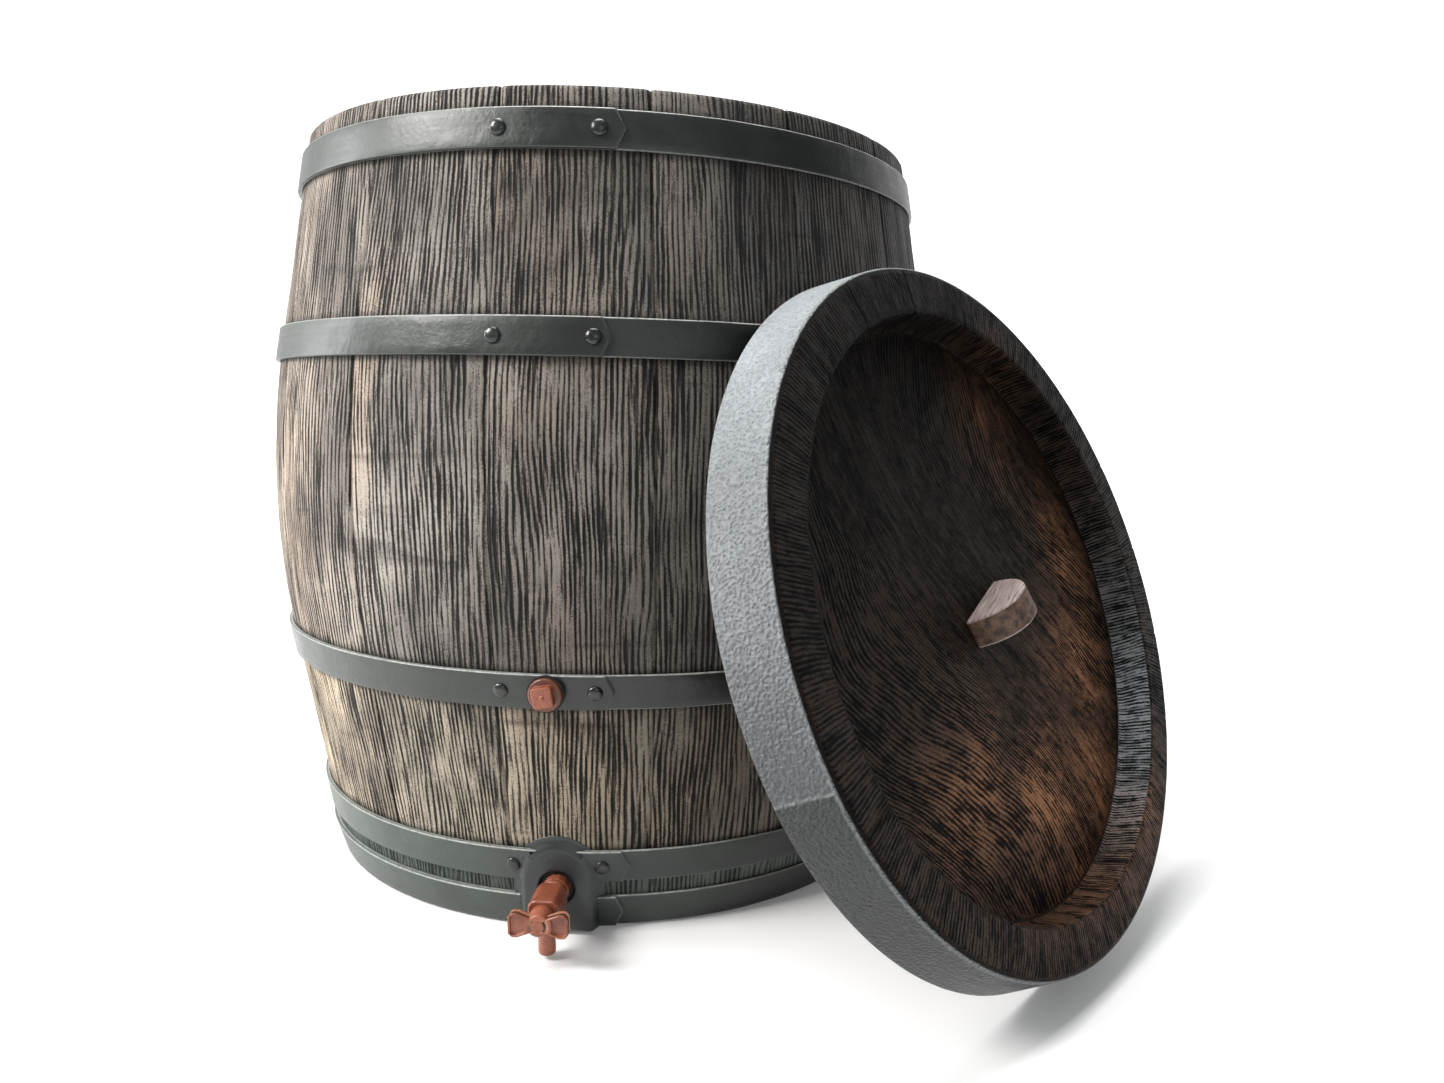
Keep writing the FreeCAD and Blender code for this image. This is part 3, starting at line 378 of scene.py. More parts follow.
def lid_wood():
    tones = (rgb(3, 2, 2), rgb(15, 12, 10), rgb(54, 43, 35))
    n, colour, height, grain = wood("lid_staves", tones, 0.0027, 18.0, 1.0, 4.0, 4.5, 420.0, 45.0)
    u, v = (n.math("SUBTRACT", n.dot(n.coords(), axis), LID_AT.dot(axis)) for axis in (ALONG, UP))
    swirl = n.noise(n.coords(), 9.0, 4.0, 0.6, 1.2)
    warm = 0.0
    for at, reach in WARM:
        warm = n.math("MAXIMUM", warm, blob(n, u, v, at, reach))
    mask = n.math("MULTIPLY", n.value_ramp(swirl, [(0.34, 0.25), (0.60, 1.0)]), warm, clamp=True)
    colour = n.tint(colour, mask, (10.5, 7.4, 5.2))
    # the wall round the dish, whose pieces are numbered from 40, catches the light at the lower right
    number = n.split(grain)[2]
    wall = n.math("MULTIPLY", n.math("GREATER_THAN", number, 39.0), n.math("LESS_THAN", number, 62.0))
    lit = n.math("MULTIPLY", wall, blob(n, u, v, (0.17, -0.11), (0.08, 0.13)), clamp=True)
    pale = n.ramp(height, [(0.2, rgb(24, 27, 28)), (0.6, rgb(74, 79, 81)), (1.0, rgb(156, 162, 164))])
    colour = n.mix(n.math("MULTIPLY", lit, 0.9), colour, pale)
    shade = [(0.0, 1.35), (0.45, 1.0), (0.65, 0.6), (0.9, 0.38)]
    colour = n.multiply(colour, n.value_ramp(n.math("MULTIPLY_ADD", v, 2.0, 0.5), shade))
    return finish_wood(n, colour, height, 0.0013, 0.55, 0.07)


def band_plastic(name, base, wear_and_highlight, rough, pebble=0.0, mottle=0.25, height_light_and_shade=None, lap=None):
    """Satin plastic, lightened by wear and a painted highlight along the edges that grain.z marks; painted
    light and shade by height when a height ramp is given, else by side.
    """
    n = Nodes(name)
    pos = n.coords()
    place = n.split(pos)
    cloud = n.noise(pos, 22.0, 4.0, 0.6)
    speck = n.noise(pos, 320.0, 3.0, 0.6)
    darker, lighter = (tuple(v * share for v in base) for share in (1 - mottle, 1 + mottle))
    colour = n.mix(n.value_ramp(cloud, [(0.35, 0.0), (0.65, 1.0)]), darker, lighter)
    # painted light and shade: the colour is multiplied by a ramp by height, else made lighter on the left
    # and darker on the right
    if height_light_and_shade:
        shade = n.ramp(place[2], height_light_and_shade)
    else:
        side = [(0.05, 1.40), (0.38, 0.85), (0.58, 0.55), (0.76, 0.36), (1.0, 0.20)]
        shade = n.value_ramp(n.math("MULTIPLY_ADD", place[0], 1.8, 0.5), side)
    colour = n.multiply(colour, shade)
    grain = n.grain()
    along, _, marked = n.split(grain)
    # painted shade: from the angle given as lap round to the end, the band is darkened
    if lap:
        colour = n.tint(colour, n.math("GREATER_THAN", along, lap), (0.24, 0.26, 0.25))
    # wear and painted highlight: the edges that grain.z marks, and all sharp edges, are mixed towards a
    # lighter colour
    edge = n.math("MULTIPLY", marked, n.value_ramp(speck, [(0.3, 0.45), (0.6, 1.0)]), clamp=True)
    edge = n.math("MAXIMUM", edge, n.math("MULTIPLY", n.edge_mask(0.0012)[0], 0.8), clamp=True)
    colour = n.mix(n.math("MULTIPLY", edge, 0.8), colour, wear_and_highlight)
    streak = n.noise(n.stretch(grain, (30.0, 400.0, 0.0)), 1.0, 3.0, 0.6)
    gloss = n.math("ADD", n.math("MULTIPLY", cloud, 0.6), n.math("MULTIPLY", streak, 0.4))
    roughness = n.value_ramp(gloss, [(0.3, rough - 0.08), (0.7, rough + 0.12)])
    normal = n.bump(n.math("ADD", n.math("MULTIPLY", speck, 0.35), cloud), 0.0006)
    if pebble:
        grains = n.tree.nodes.new("ShaderNodeTexVoronoi")
        grains.feature = "SMOOTH_F1"
        grains.inputs["Scale"].default_value = 520.0
        n.link(pos, grains.inputs["Vector"])
        grit = n.math("MULTIPLY", n.noise(pos, 364.0, 3.0, 0.7), 0.6)
        both = n.math("ADD", n.math("MULTIPLY", grains.outputs["Distance"], 0.7), grit)
        normal = n.bump(both, pebble, normal)
        # painted light and shade on the grains: their tops lighter, the hollows between them darker
        colour = n.multiply(colour, n.value_ramp(both, [(0.35, 0.72), (0.75, 1.12)]))
    return n.finish(Base_Color=colour, Roughness=roughness, Specular_IOR_Level=0.5, Normal=normal)


def copper_plastic():
    n = Nodes("copper_plastic")
    pos = n.coords()
    cloud = n.noise(pos, 60.0)
    speck = n.noise(pos, 900.0, 2.0, 0.6)
    rubbed_and_lit_edges, rounded = n.edge_mask(0.0007)
    base = n.mix(n.value_ramp(cloud, [(0.35, 0.0), (0.65, 1.0)]), rgb(112, 58, 40), rgb(146, 82, 58))
    # painted shade: where grain.z marks it, on the plug's flange, the copper is darker
    marked = n.math("MULTIPLY", n.split(n.grain())[2], 0.7)
    base = n.mix(marked, base, rgb(70, 36, 26))
    # wear and painted highlight: sharp edges are lightened towards a pale copper
    colour = n.mix(n.math("MULTIPLY", rubbed_and_lit_edges, 1.6, clamp=True), base, rgb(206, 142, 110))
    return n.finish(Base_Color=colour, Roughness=n.value_ramp(speck, [(0.3, 0.24), (0.7, 0.36)]),
                    Normal=n.bump(speck, 0.00012, rounded))


def plain(name, base, rough, metal=0.0):
    n = Nodes(name)
    pos = n.coords()
    speck = n.noise(pos, 300.0, 3.0, 0.6)
    cloud = n.noise(pos, 40.0, 3.0, 0.6)
    darker, lighter = (tuple(v * share for v in base) for share in (0.75, 1.25))
    roughness = n.value_ramp(speck, [(0.3, rough - 0.06), (0.7, min(rough + 0.08, 1.0))])
    return n.finish(Base_Color=n.mix(cloud, darker, lighter), Roughness=roughness, Metallic=metal,
                    Normal=n.bump(speck, 0.00008, n.edge_mask(0.0005)[1]))


def grip_wood():
    """Pale end grain on the grip's two flat sides, where grain.z is 1, and dark rind round its edge."""
    n = Nodes("grip_plastic")
    grain = n.grain()
    x, y, flat = n.split(grain)
    wave = n.noise(n.stretch(grain, (26.0, 60.0, 0.0), (0, 0, 3.0)), 1.0, 2.0)
    bent = n.math("ADD", y, n.math("MULTIPLY", wave, 0.010))
    lines = n.noise(n.stretch(n.join(x, bent, 0.0), (50.0, 620.0, 0.0)), 1.0, 3.0, 0.6)
    face = n.ramp(lines, [(0.3, rgb(96, 82, 78)), (0.5, rgb(160, 142, 136)), (0.72, rgb(202, 188, 182))])
    rind = n.ramp(n.noise(n.coords(), 180.0, 4.0, 0.6), [(0.3, rgb(44, 32, 26)), (0.7, rgb(112, 84, 66))])
    roughness = n.value_ramp(lines, [(0.2, 0.7), (0.8, 0.5)])
    return n.finish(Base_Color=n.mix(flat, rind, face), Roughness=roughness, Normal=n.bump(lines, 0.0006))


LID_SEAM = math.radians(196)
LID_AROUND = 0.245  # radius that turns angles round the lid's skirt into lengths of grain
CASK_WOOD = cask_wood()
LID_WOOD = lid_wood()
GRIP_WOOD = grip_wood()
STRAP = band_plastic("strap_plastic", rgb(40, 46, 42), rgb(196, 200, 194), 0.36)
STRAP_LOW = band_plastic("strap_plastic_low", rgb(60, 68, 63), rgb(186, 190, 184), 0.40)
RIVET = band_plastic("rivet_plastic", rgb(44, 48, 45), rgb(96, 98, 95), 0.22)
HOUSING = band_plastic("housing_plastic", rgb(56, 63, 62), rgb(110, 116, 112), 0.36)
# painted light and shade on the lid band: by height it is darkest at about 0.18 m and lightest at the top;
# painted shade over the lower half of the skirt, from LID_SEAM round
LID_BAND = band_plastic("lid_band_plastic", rgb(108, 112, 113), rgb(118, 122, 122), 0.36,
                        pebble=0.0024, mottle=0.10, lap=LID_SEAM * LID_AROUND,
                        height_light_and_shade=[(0.0, (0.60, 0.66, 0.62)), (0.12, (0.52, 0.54, 0.53)),
                              (0.18, (0.40, 0.41, 0.42)), (0.30, (0.95, 0.95, 0.98)),
                              (0.44, (1.75, 1.75, 1.80))])
COPPER = copper_plastic()
RUBBER = plain("black_rubber", rgb(22, 22, 22), 0.72)
NUT = plain("nut_plastic", rgb(34, 34, 34), 0.5)
STEEL = plain("screw_steel", rgb(170, 168, 162), 0.32, 1.0)


# ------------------------------------------------------------------ the cask
def stave_columns(per):
    """Angles from the tap line, packed closer beside each joint, and the stave number of each."""
    t = np.linspace(-1, 1, per, endpoint=False)
    bent = np.sign(t) * (1 - (1 - np.abs(t)) ** 1.9)
    centres = np.arange(STAVES) * 2 * HALF_STAVE + STAVE_TURN
    return (centres[:, None] + bent * HALF_STAVE).ravel(), np.repeat(np.arange(STAVES), per)


def build_cask():
    angle, stave = stave_columns(48)
    level = 0 * angle
    cols = len(angle)
    off = (angle - STAVE_TURN + HALF_STAVE) % (2 * HALF_STAVE) - HALF_STAVE
    away = (HALF_STAVE - np.abs(off)) * AROUND
    lift = rng.uniform(-0.0003, 0.0002, STAVES)[stave]
    seeds = rng.uniform(0, 60, STAVES)[stave]
    groove = -0.0013 * np.exp(-(away / 0.0011) ** 2) - 0.0003 * np.exp(-(away / 0.004) ** 2)
    # the outside, up to the rim
    foot = np.linspace(0.0, BAND_TOP, 7)
    zs = np.concatenate([foot, np.linspace(BAND_TOP + 0.002, HEIGHT - 0.0025, 190)])[:, None]
    body = np.clip((zs - BAND_TOP) / 0.006, 0, 1)
    wave = 0.0005 * smooth_noise(angle[None] * 9, zs * 22, 3) * np.clip(away[None] / 0.004, 0, 1)
    radius = cask_radius(zs) + np.minimum(groove[None] + lift[None] + wave - 0.0002, 0) * body
    rows = list(arc_point(radius, angle[None], zs + level))
    attrs = list(np.stack([angle[None] * AROUND + 0 * zs, zs + level, seeds[None] + 0 * zs], -1))
    # rim, mouth, inside wall and floor
    lip_z = HEIGHT - 0.010
    inner = [(RIM - 0.0008, HEIGHT - 0.0007), (RIM - 0.0022, HEIGHT), (RIM - 0.0075, HEIGHT),
             (RIM - 0.009, HEIGHT - 0.0012), (RIM - 0.009, lip_z), (RIM - 0.0045, lip_z - 0.004)]
    inner += [(float(cask_radius(z)) - WALL, z) for z in np.linspace(lip_z - 0.012, 0.016, 46)]
    inner += [(0.236, 0.0125), (0.232, 0.011), (0.18, 0.011), (0.12, 0.011), (0.06, 0.011)]
    for r, z in inner:
        on_rim = z > HEIGHT - 0.002 and r > RIM - 0.008
        rad = r + (groove * 0.6 if on_rim else level)
        high = z + (groove * 0.5 + lift * 0.4 - 0.0003 if on_rim else level)
        rows.append(arc_point(rad, angle, np.minimum(high, HEIGHT)))
        along = z if z > lip_z - 0.003 else z + 2.0
        attrs.append(np.stack([angle * AROUND, level + along, seeds], -1))
    faces = [tuple(f) for f in grid_faces(len(rows), cols, True)]
    # the underside, and a point in the middle of the floor and of the foot
    last = (len(rows) - 1) * cols
    start = last + cols
    under = [(FOOT - 0.018, 0.0), (FOOT - 0.018, 0.006), (0.060, 0.006), (0.060, 0.0), (0.001, 0.0)]
    for r, z in under:
        ring = arc_point(r + level, angle, z + level)
        rows.append(ring)
        attrs.append(np.stack([ring[:, 0], ring[:, 1], seeds], -1))
    middle = len(rows) * cols
    points = np.concatenate(rows + [[[0, 0, 0.011], [0, 0, 0.0]]])
    attr = np.concatenate(attrs + [[[0, 0, 0], [0, 0, 0]]])
    for c in range(cols):
        nxt = (c + 1) % cols
        faces.append((last + c, last + nxt, middle))
        faces.append((nxt, c, start + c, start + nxt))
        for a in range(start, middle - cols, cols):
            faces.append((a + nxt, a + c, a + cols + c, a + cols + nxt))
        faces.append((middle - cols + nxt, middle - cols + c, middle + 1))
    add_mesh("cask_staves", points, faces, "cask", "barrel_shell", attr, CASK_WOOD)


build_cask()


# ------------------------------------------------------------------ bands
def band_section(thick, height):
    """Outline of a strap's cross-section: (share up the band, stand-off), rounded at the edges."""
    e = 0.0007 / height
    half = [(0.0, 0.0), (0.0, thick - 0.0008), (e * 0.5, thick - 0.0002), (e * 1.4, thick), (0.25, thick)]
    return half + [(0.5, thick)] + [(1 - share, off) for share, off in reversed(half)]


def house_gap(z):
    """Half the width that the bands leave for the tap housing at a height."""
    half = HOUSE_HALF + 0.0002
    spring = 0.041
    return half if z < spring else math.sqrt(max(half ** 2 - (z - spring) ** 2, 0.012 ** 2))


def build_band(name, base, height, thick, gap, reach, point, seed):
    """A strap round the cask, with the lapped end of a second strap on it that stops in a point."""
    mean = float(cask_radius(base + height / 2))
    cols = 720
    share_round = np.linspace(0, 1, cols + 1)
    section = band_section(thick, height)
    points, attrs = [], []
    for share, off in section:
        z = base + share * height
        start = house_gap(z) / mean if gap else 0.0
        angle = start + share_round * (PI2 - 2 * start)
        level = 0 * angle
        wave = 0.00045 * smooth_noise(angle * 7, level + share * 0.9, seed) if off > thick * 0.5 else level
        sway = 0.0005 * smooth_noise(angle * 3.1, level + share * 0.2, seed + 5)
        high = z + sway * (1 if 0 < share < 1 else 0.4)
        points.append(arc_point(cask_radius(z + level) + off + wave, angle, high))
        # grain.z holds wear and a painted highlight: full on the rounded top edge, weaker on the bottom
        # edge
        bevelled = 0.3 * thick < off < thick
        wear_and_highlight = bevelled * (1.0 if share > 0.9 else 0.35 if share < 0.1 else 0.0)
        attrs.append(np.stack([angle * mean, high, level + wear_and_highlight], -1))
    faces = [tuple(f) for f in grid_faces(len(section), cols + 1, False)]
    if gap:
        first = [row * (cols + 1) for row in range(len(section))]
        faces += [tuple(first), tuple(f + cols for f in reversed(first))]
    # the lap fades in over a quarter turn and stops in a point beside the tap line
    offset = len(section) * (cols + 1)
    cols = 240
    half = [(0.0, -0.0006), (0.0, 0.6), (0.012, 0.92), (0.04, 1.0), (0.25, 1.0)]
    lap = half + [(0.5, 1.0)] + [(1 - share, rise) for share, rise in reversed(half)]
    for share, rise in lap:
        z = base + share * height
        end = (reach + point * (1 - abs(2 * share - 1))) / mean
        angle = -math.pi / 2 + np.linspace(0, 1, cols + 1) ** 0.55 * (end + math.pi / 2)
        level = 0 * angle
        step = np.cos(np.clip(angle, -math.pi / 2, 0.5)) * thick
        close = np.clip((end - angle) * mean / 0.0009, 0, 1)
        lip = thick + np.where(rise > 0, step * rise * (0.35 + 0.65 * np.sqrt(close)), -0.0006)
        wave = 0.0003 * smooth_noise(angle * 16, level + share * 2, seed + 9) if rise > 0.9 else 0
        points.append(arc_point(cask_radius(z + level) + lip + wave, angle, level + z))
        # grain.z holds wear and a painted highlight on the lap's point and top edge
        wear_and_highlight = np.where(close < 0.9, 0.8, 1.0 if (share > 0.9 and 0.3 < rise < 1.0) else 0.0)
        attrs.append(np.stack([angle * mean, level + z, wear_and_highlight * np.clip(step / thick, 0, 1)], -1))
    lap_faces = grid_faces(len(lap), cols + 1, False)
    if gap:
        centre = np.concatenate(points[len(section):])[lap_faces].mean(1)
        width = np.array([house_gap(v) for v in centre[:, 2]]) + 0.0004
        lap_faces = lap_faces[np.abs(np.arctan2(centre[:, 0], -centre[:, 1]) * mean) > width]
    faces += [tuple(f + offset) for f in lap_faces]
    faces.append(tuple(offset + row * (cols + 1) + cols for row in reversed(range(len(lap)))))
    add_mesh(name + "_strap", np.concatenate(points), faces, "cask", name,
             np.concatenate(attrs), STRAP if base > 0.1 else STRAP_LOW)


LAP_REACH = {"hoop_top": 0.0415, "hoop_upper": 0.0365, "hoop_lower": 0.0385, "hoop_bottom": 0.0450}
for count, (hoop, base) in enumerate(HOOPS.items()):
    build_band(hoop, base, HOOP_H, THICK, hoop == "hoop_bottom", LAP_REACH[hoop], 0.006, 11 + count)
build_band("base_band", GROUND_GAP, BAND_TOP - GROUND_GAP, 0.0028, True, 0.040, 0.005, 29)


# ------------------------------------------------------------------ turned details
def turned(rings, steps, place, first, last, mark=0.0):
    """Closed piece of round rings between two points on its axis, as points, faces and grain marks."""
    points = [place @ Vector(p) for p in [(0, 0, first)] + rings + [(0, 0, last)]]
    end = len(points) - 1
    faces = []
    for k in range(steps):
        nxt = (k + 1) % steps
        faces.append((0, 1 + nxt, 1 + k))
        for a in range(1, end - steps, steps):
            faces.append((a + k, a + nxt, a + steps + nxt, a + steps + k))
        faces.append((end - steps + k, end - steps + nxt, end))
    return points, faces, [(0, 0, mark)] * len(points)


def lathe(profile, place, steps=64, mark=0.0):
    """Turned piece from (radius, height) points that start and end on its axis."""
    angles = np.linspace(0, PI2, steps, endpoint=False)
    rings = [(r * math.cos(a), r * math.sin(a), z) for r, z in profile[1:-1] for a in angles]
    return turned(rings, steps, place, profile[0][1], profile[-1][1], mark)


def rivet_place(base, side):
    """Same rule as the solid: on the lap's outer face, standing along the surface."""
    middle = base + HOOP_H / 2
    reach = float(cask_radius(middle))
    low, high = float(cask_radius(base + 1e-6)), float(cask_radius(base + HOOP_H - 1e-6))
    lean = math.atan2(low - high, HOOP_H)
    spread = math.asin(0.0312 / reach) * side
    skin = reach + THICK * (1 + math.cos(spread)) + 0.00005
    turn = Matrix.Rotation(spread, 4, "Z")
    tip = Matrix.Rotation(math.pi / 2 - lean, 4, "X")
    return Matrix.Translation(turn @ Vector((0, -skin, middle))) @ turn @ tip


def merge(parts):
    points, faces, attrs = [], [], []
    for p, f, a in parts:
        faces += [tuple(i + len(points) for i in face) for face in f]
        points += list(p)
        attrs += list(a)
    return points, faces, attrs


def add_merged(name, parts, body, node, mat):
    points, faces, attrs = merge(parts)
    add_mesh(name, points, faces, body, node, attrs, mat)


DOME = [(0, -0.007), (0.0025, -0.007), (0.0025, -0.0002), (0.0049, -0.0002), (0.0053, 0.0003)]
for a in np.linspace(0, math.pi / 2, 13)[1:-1]:
    DOME.append((0.0052 * math.cos(a), 0.0003 + 0.0024 * math.sin(a)))
DOME.append((0, 0.0026))
for hoop, base in HOOPS.items():
    pair = [lathe(DOME, rivet_place(base, side), 40) for side in (-1, 1)]
    add_merged(hoop + "_rivet_heads", pair, "cask", hoop + "_rivets", RIVET)


# ------------------------------------------------------------------ solids with rounded edges
def outline_normals(p):
    d = np.roll(p, -1, 0) - np.roll(p, 1, 0)
    n = np.stack([d[:, 1], -d[:, 0]], -1)
    return n / np.maximum(np.linalg.norm(n, axis=1, keepdims=True), 1e-9)


def dense(points, step=0.0006, soften=2):
    """Outline of evenly spaced points through the given corners, softened a little."""
    p = np.asarray(points, dtype=float)
    out = []
    for a, b in zip(p, np.roll(p, -1, 0)):
        n = max(int(np.linalg.norm(b - a) / step), 1)
        out += [a + (b - a) * k / n for k in range(n)]
    out = np.array(out)
    for _ in range(soften):
        out = 0.25 * np.roll(out, 1, 0) + 0.5 * out + 0.25 * np.roll(out, -1, 0)
    return out


def prism(outline, low, high, edge, place, inner=6):
    """Closed solid on a dense outline (anticlockwise), with rounded edges and flat ends."""
    normal = outline_normals(outline)
    centre = outline.mean(0)
    shares = [max(1 - k / inner, 0.02) for k in range(1, inner + 1)]
    end = outline - normal * edge - centre
    turn = [k / 5 * math.pi / 2 for k in range(6)]
    rings = [(centre + end * share, low) for share in reversed(shares)]
    rings += [(outline - normal * edge * (1 - math.sin(a)), low + edge * (1 - math.cos(a))) for a in turn]
    rings += [(outline - normal * edge * (1 - math.cos(a)), high - edge * (1 - math.sin(a))) for a in turn]
    rings += [(centre + end * share, high) for share in shares]
    count = len(outline)
    points = [place @ Vector((x, y, z)) for ring, z in rings for x, y in ring]
    faces = [tuple(f) for f in grid_faces(len(rings), count, True)]
    faces.append(tuple(reversed(range(count))))
    faces.append(tuple(range(len(points) - count, len(points))))
    return points, faces, [(0, 0, 0)] * len(points)


def facing(x, y, z, turn=0.0):
    """Own Z axis points out of the cask, towards -Y; own Y axis points up."""
    m = Matrix(((1, 0, 0, x), (0, 0, -1, y), (0, 1, 0, z), (0, 0, 0, 1)))
    return m @ Matrix.Rotation(turn, 4, "Z")


def box_outline(half, chamfer):
    """Corners of a square with its corners cut off."""
    c = half - chamfer
    return [(-half, -c), (-c, -half), (c, -half), (half, -c), (half, c), (c, half), (-c, half), (-half, c)]


# ------------------------------------------------------------------ tap housing
def arch_reach(a):
    """Distance from the tap's axis to the housing's outline, in the direction of an angle."""
    ca, sa = math.cos(a), math.sin(a)
    if abs(ca) > 1e-6:
        r = HOUSE_HALF / abs(ca)
        if GROUND_GAP <= TAP_Z + r * sa <= 0.042:
            return r
    if sa < 0:
        return (TAP_Z - GROUND_GAP) / -sa
    return 0.006 * sa + math.sqrt(0.0255 ** 2 - (0.006 * ca) ** 2)


def build_housing():
    """A round-topped block that swells out of the cask, with a round recess and a hole for the tap."""
    cols = 288
    angles = np.linspace(0, PI2, cols, endpoint=False)
    reach = np.array([arch_reach(a) for a in angles])
    for _ in range(3):
        reach = 0.25 * np.roll(reach, 1) + 0.5 * reach + 0.25 * np.roll(reach, -1)
    face = reach - 0.0050
    foot = reach + 0.0065
    level = np.zeros(cols)
    x, z = foot * np.cos(angles), np.maximum(TAP_Z + foot * np.sin(angles), GROUND_GAP)
    hoop = np.clip((0.0645 - z) / 0.001, 0, 1) * 0.0028 + 0.0003
    start = -np.sqrt((cask_radius(z) + hoop) ** 2 - x ** 2)
    rings = [(foot, level - 0.240)]
    for t in np.linspace(0, 1, 15):
        ease = t * t * t * (t * (6 * t - 15) + 10)
        rings.append((foot * (1 - t) + face * t, start * (1 - ease) - HOUSE_FRONT * ease))
    for t in (0.2, 0.45, 0.7, 0.9):
        rings.append((face * (1 - t) + 0.0142 * t, level - HOUSE_FRONT))
    for r, y in ((0.0142, -0.259), (0.0134, -0.2588), (0.0130, -0.2582), (0.0130, -0.2536),
                 (0.0126, -0.253), (0.0086, -0.253), (0.0086, -0.240)):
        rings.append((level + r, level + y))
    points = [(r * math.cos(a), y, max(TAP_Z + r * math.sin(a), GROUND_GAP))
              for ring, depth in rings for r, a, y in zip(ring, angles, depth)]
    faces = [tuple(f) for f in grid_faces(len(rings), cols, True)]
    add_mesh("tap_housing_cover", points, faces, "cask", "tap_housing",
             [(0, 0, 0)] * len(points), HOUSING)


build_housing()


# ------------------------------------------------------------------ tap
def build_tap():
    place = facing(0, -HOUSE_FRONT, TAP_Z)
    down = Matrix(((1, 0, 0, 0), (0, -1, 0, -0.2895), (0, 0, -1, TAP_Z), (0, 0, 0, 1)))
    turn = [PI2 * (k + 0.5) / 12 for k in range(12)]
    sides = [(0.01 * math.cos(a), 0.01 * math.sin(a)) for a in turn]
    square = dense(box_outline(0.0105, 0.0036), 0.0006, 5)
    tail = lathe([(0, -0.0302), (0.0070, -0.0302), (0.0080, -0.029), (0.0080, 0.0055), (0.0084, 0.0060),
                  (0.0084, 0.0130), (0.0088, 0.0136), (0, 0.0136)], place)
    collar = prism(dense(sides, 0.0005, 1), -0.0035, 0.0055, 0.0007, place)
    ridge = lathe([(0, 0.0068), (0.0091, 0.0068), (0.0096, 0.0074), (0.0096, 0.0084), (0.0091, 0.009),
                   (0, 0.009)], place)
    block = prism(square, 0.0125, 0.0405, 0.0013, place)
    lip = prism(square * 0.93, 0.0395, 0.0408, 0.0005, place)
    spout = lathe([(0, 0.003), (0.0068, 0.003), (0.0068, 0.0112), (0.0060, 0.0125), (0.0060, 0.0308),
                   (0.0054, 0.0323), (0.0048, 0.0325), (0.0043, 0.0318), (0.0040, 0.0302), (0.0040, 0.0150),
                   (0, 0.0150)], down)
    parts = (tail, collar, ridge, block, lip, spout)
    add_merged("tap_body_cast", parts, "cask", "tap_body", COPPER)


def wing_height(x):
    """Half the height of the bow-tie wings, which grow from a waist and round off at their ends."""
    waist, tallest = 0.0035, 0.0085
    x = np.abs(x)
    grow = waist + (tallest - waist) * np.clip(x / 0.0138, 0, 1) ** 1.15
    cut = tallest - 0.0030 * np.clip((x - 0.0168) / 0.0032, 0, 1) ** 1.6
    return np.minimum(grow, cut)


def build_handle():
    cols, rows = 140, 44
    span, rounding, deep, middle = 0.020, 0.0009, 0.0021, -0.3109
    x = span * np.sin(np.linspace(-math.pi / 2, math.pi / 2, cols))
    v = np.sin(np.linspace(-math.pi / 2, math.pi / 2, rows))
    xx, vv = np.meshgrid(x, v, indexing="ij")
    tall = wing_height(xx)
    zz = vv * tall
    inset = np.minimum(tall - np.abs(zz), (span - np.abs(xx)) * 0.95)
    round_off = np.maximum(rounding ** 2 - (rounding - np.minimum(inset, rounding)) ** 2, 0)
    round_off = rounding - np.sqrt(round_off)
    # the webs are dished inside a raised rim, away from the hub
    dish = np.clip((inset - 0.0013) / 0.0008, 0, 1) * np.clip((np.hypot(xx, zz) - 0.0090) / 0.0012, 0, 1)
    half = 0.0040 - round_off - deep * dish * dish * (3 - 2 * dish)
    sides = [np.stack([xx, y, TAP_Z + zz], -1).reshape(-1, 3) for y in (middle - half, middle + half)]
    n = cols * rows
    grid = grid_faces(cols, rows, False)
    faces = [tuple(f) for f in grid] + [tuple(reversed([i + n for i in f])) for f in grid]
    loop = [r * rows for r in range(cols)] + [(cols - 1) * rows + k for k in range(1, rows)]
    loop += [r * rows + rows - 1 for r in range(cols - 2, -1, -1)] + [k for k in range(rows - 2, 0, -1)]
    faces += [(b, a, a + n, b + n) for a, b in zip(loop, loop[1:] + loop[:1])]
    wings = (np.concatenate(sides).tolist(), faces, [(0, 0, 0)] * (2 * n))
    hub = lathe([(0, 0.0), (0.0078, 0.0), (0.0085, 0.0006), (0.0085, 0.0062), (0.0080, 0.0072),
                 (0.0080, 0.0138), (0.0074, 0.0148), (0.0058, 0.0150), (0.0040, 0.0150), (0.0036, 0.0146),
                 (0.0030, 0.0134), (0.0, 0.0132)], facing(0, -0.2999, TAP_Z), 72)
    add_merged("tap_wings", (wings, hub), "tap_rotor", "tap_handle", COPPER)


def threaded(radius, depth, low, high, pitch, place):
    """Screw thread that runs out at both ends."""
    steps, rows = 48, int((high - low) / pitch * 10)
    rings = []
    for row in range(rows + 1):
        z = low + (high - low) * row / rows
        ends = max(min(1.0, (z - low) / 0.002, (high - z) / 0.001 + 0.2), 0)
        for k in range(steps):
            tooth = abs(2 * ((z / pitch - k / steps) % 1.0) - 1)
            reach = radius - depth * (1 - tooth * ends) - (0.0008 if row == 0 else 0)
            rings.append((reach * math.cos(PI2 * k / steps), reach * math.sin(PI2 * k / steps), z))
    return turned(rings, steps, place, low, high)


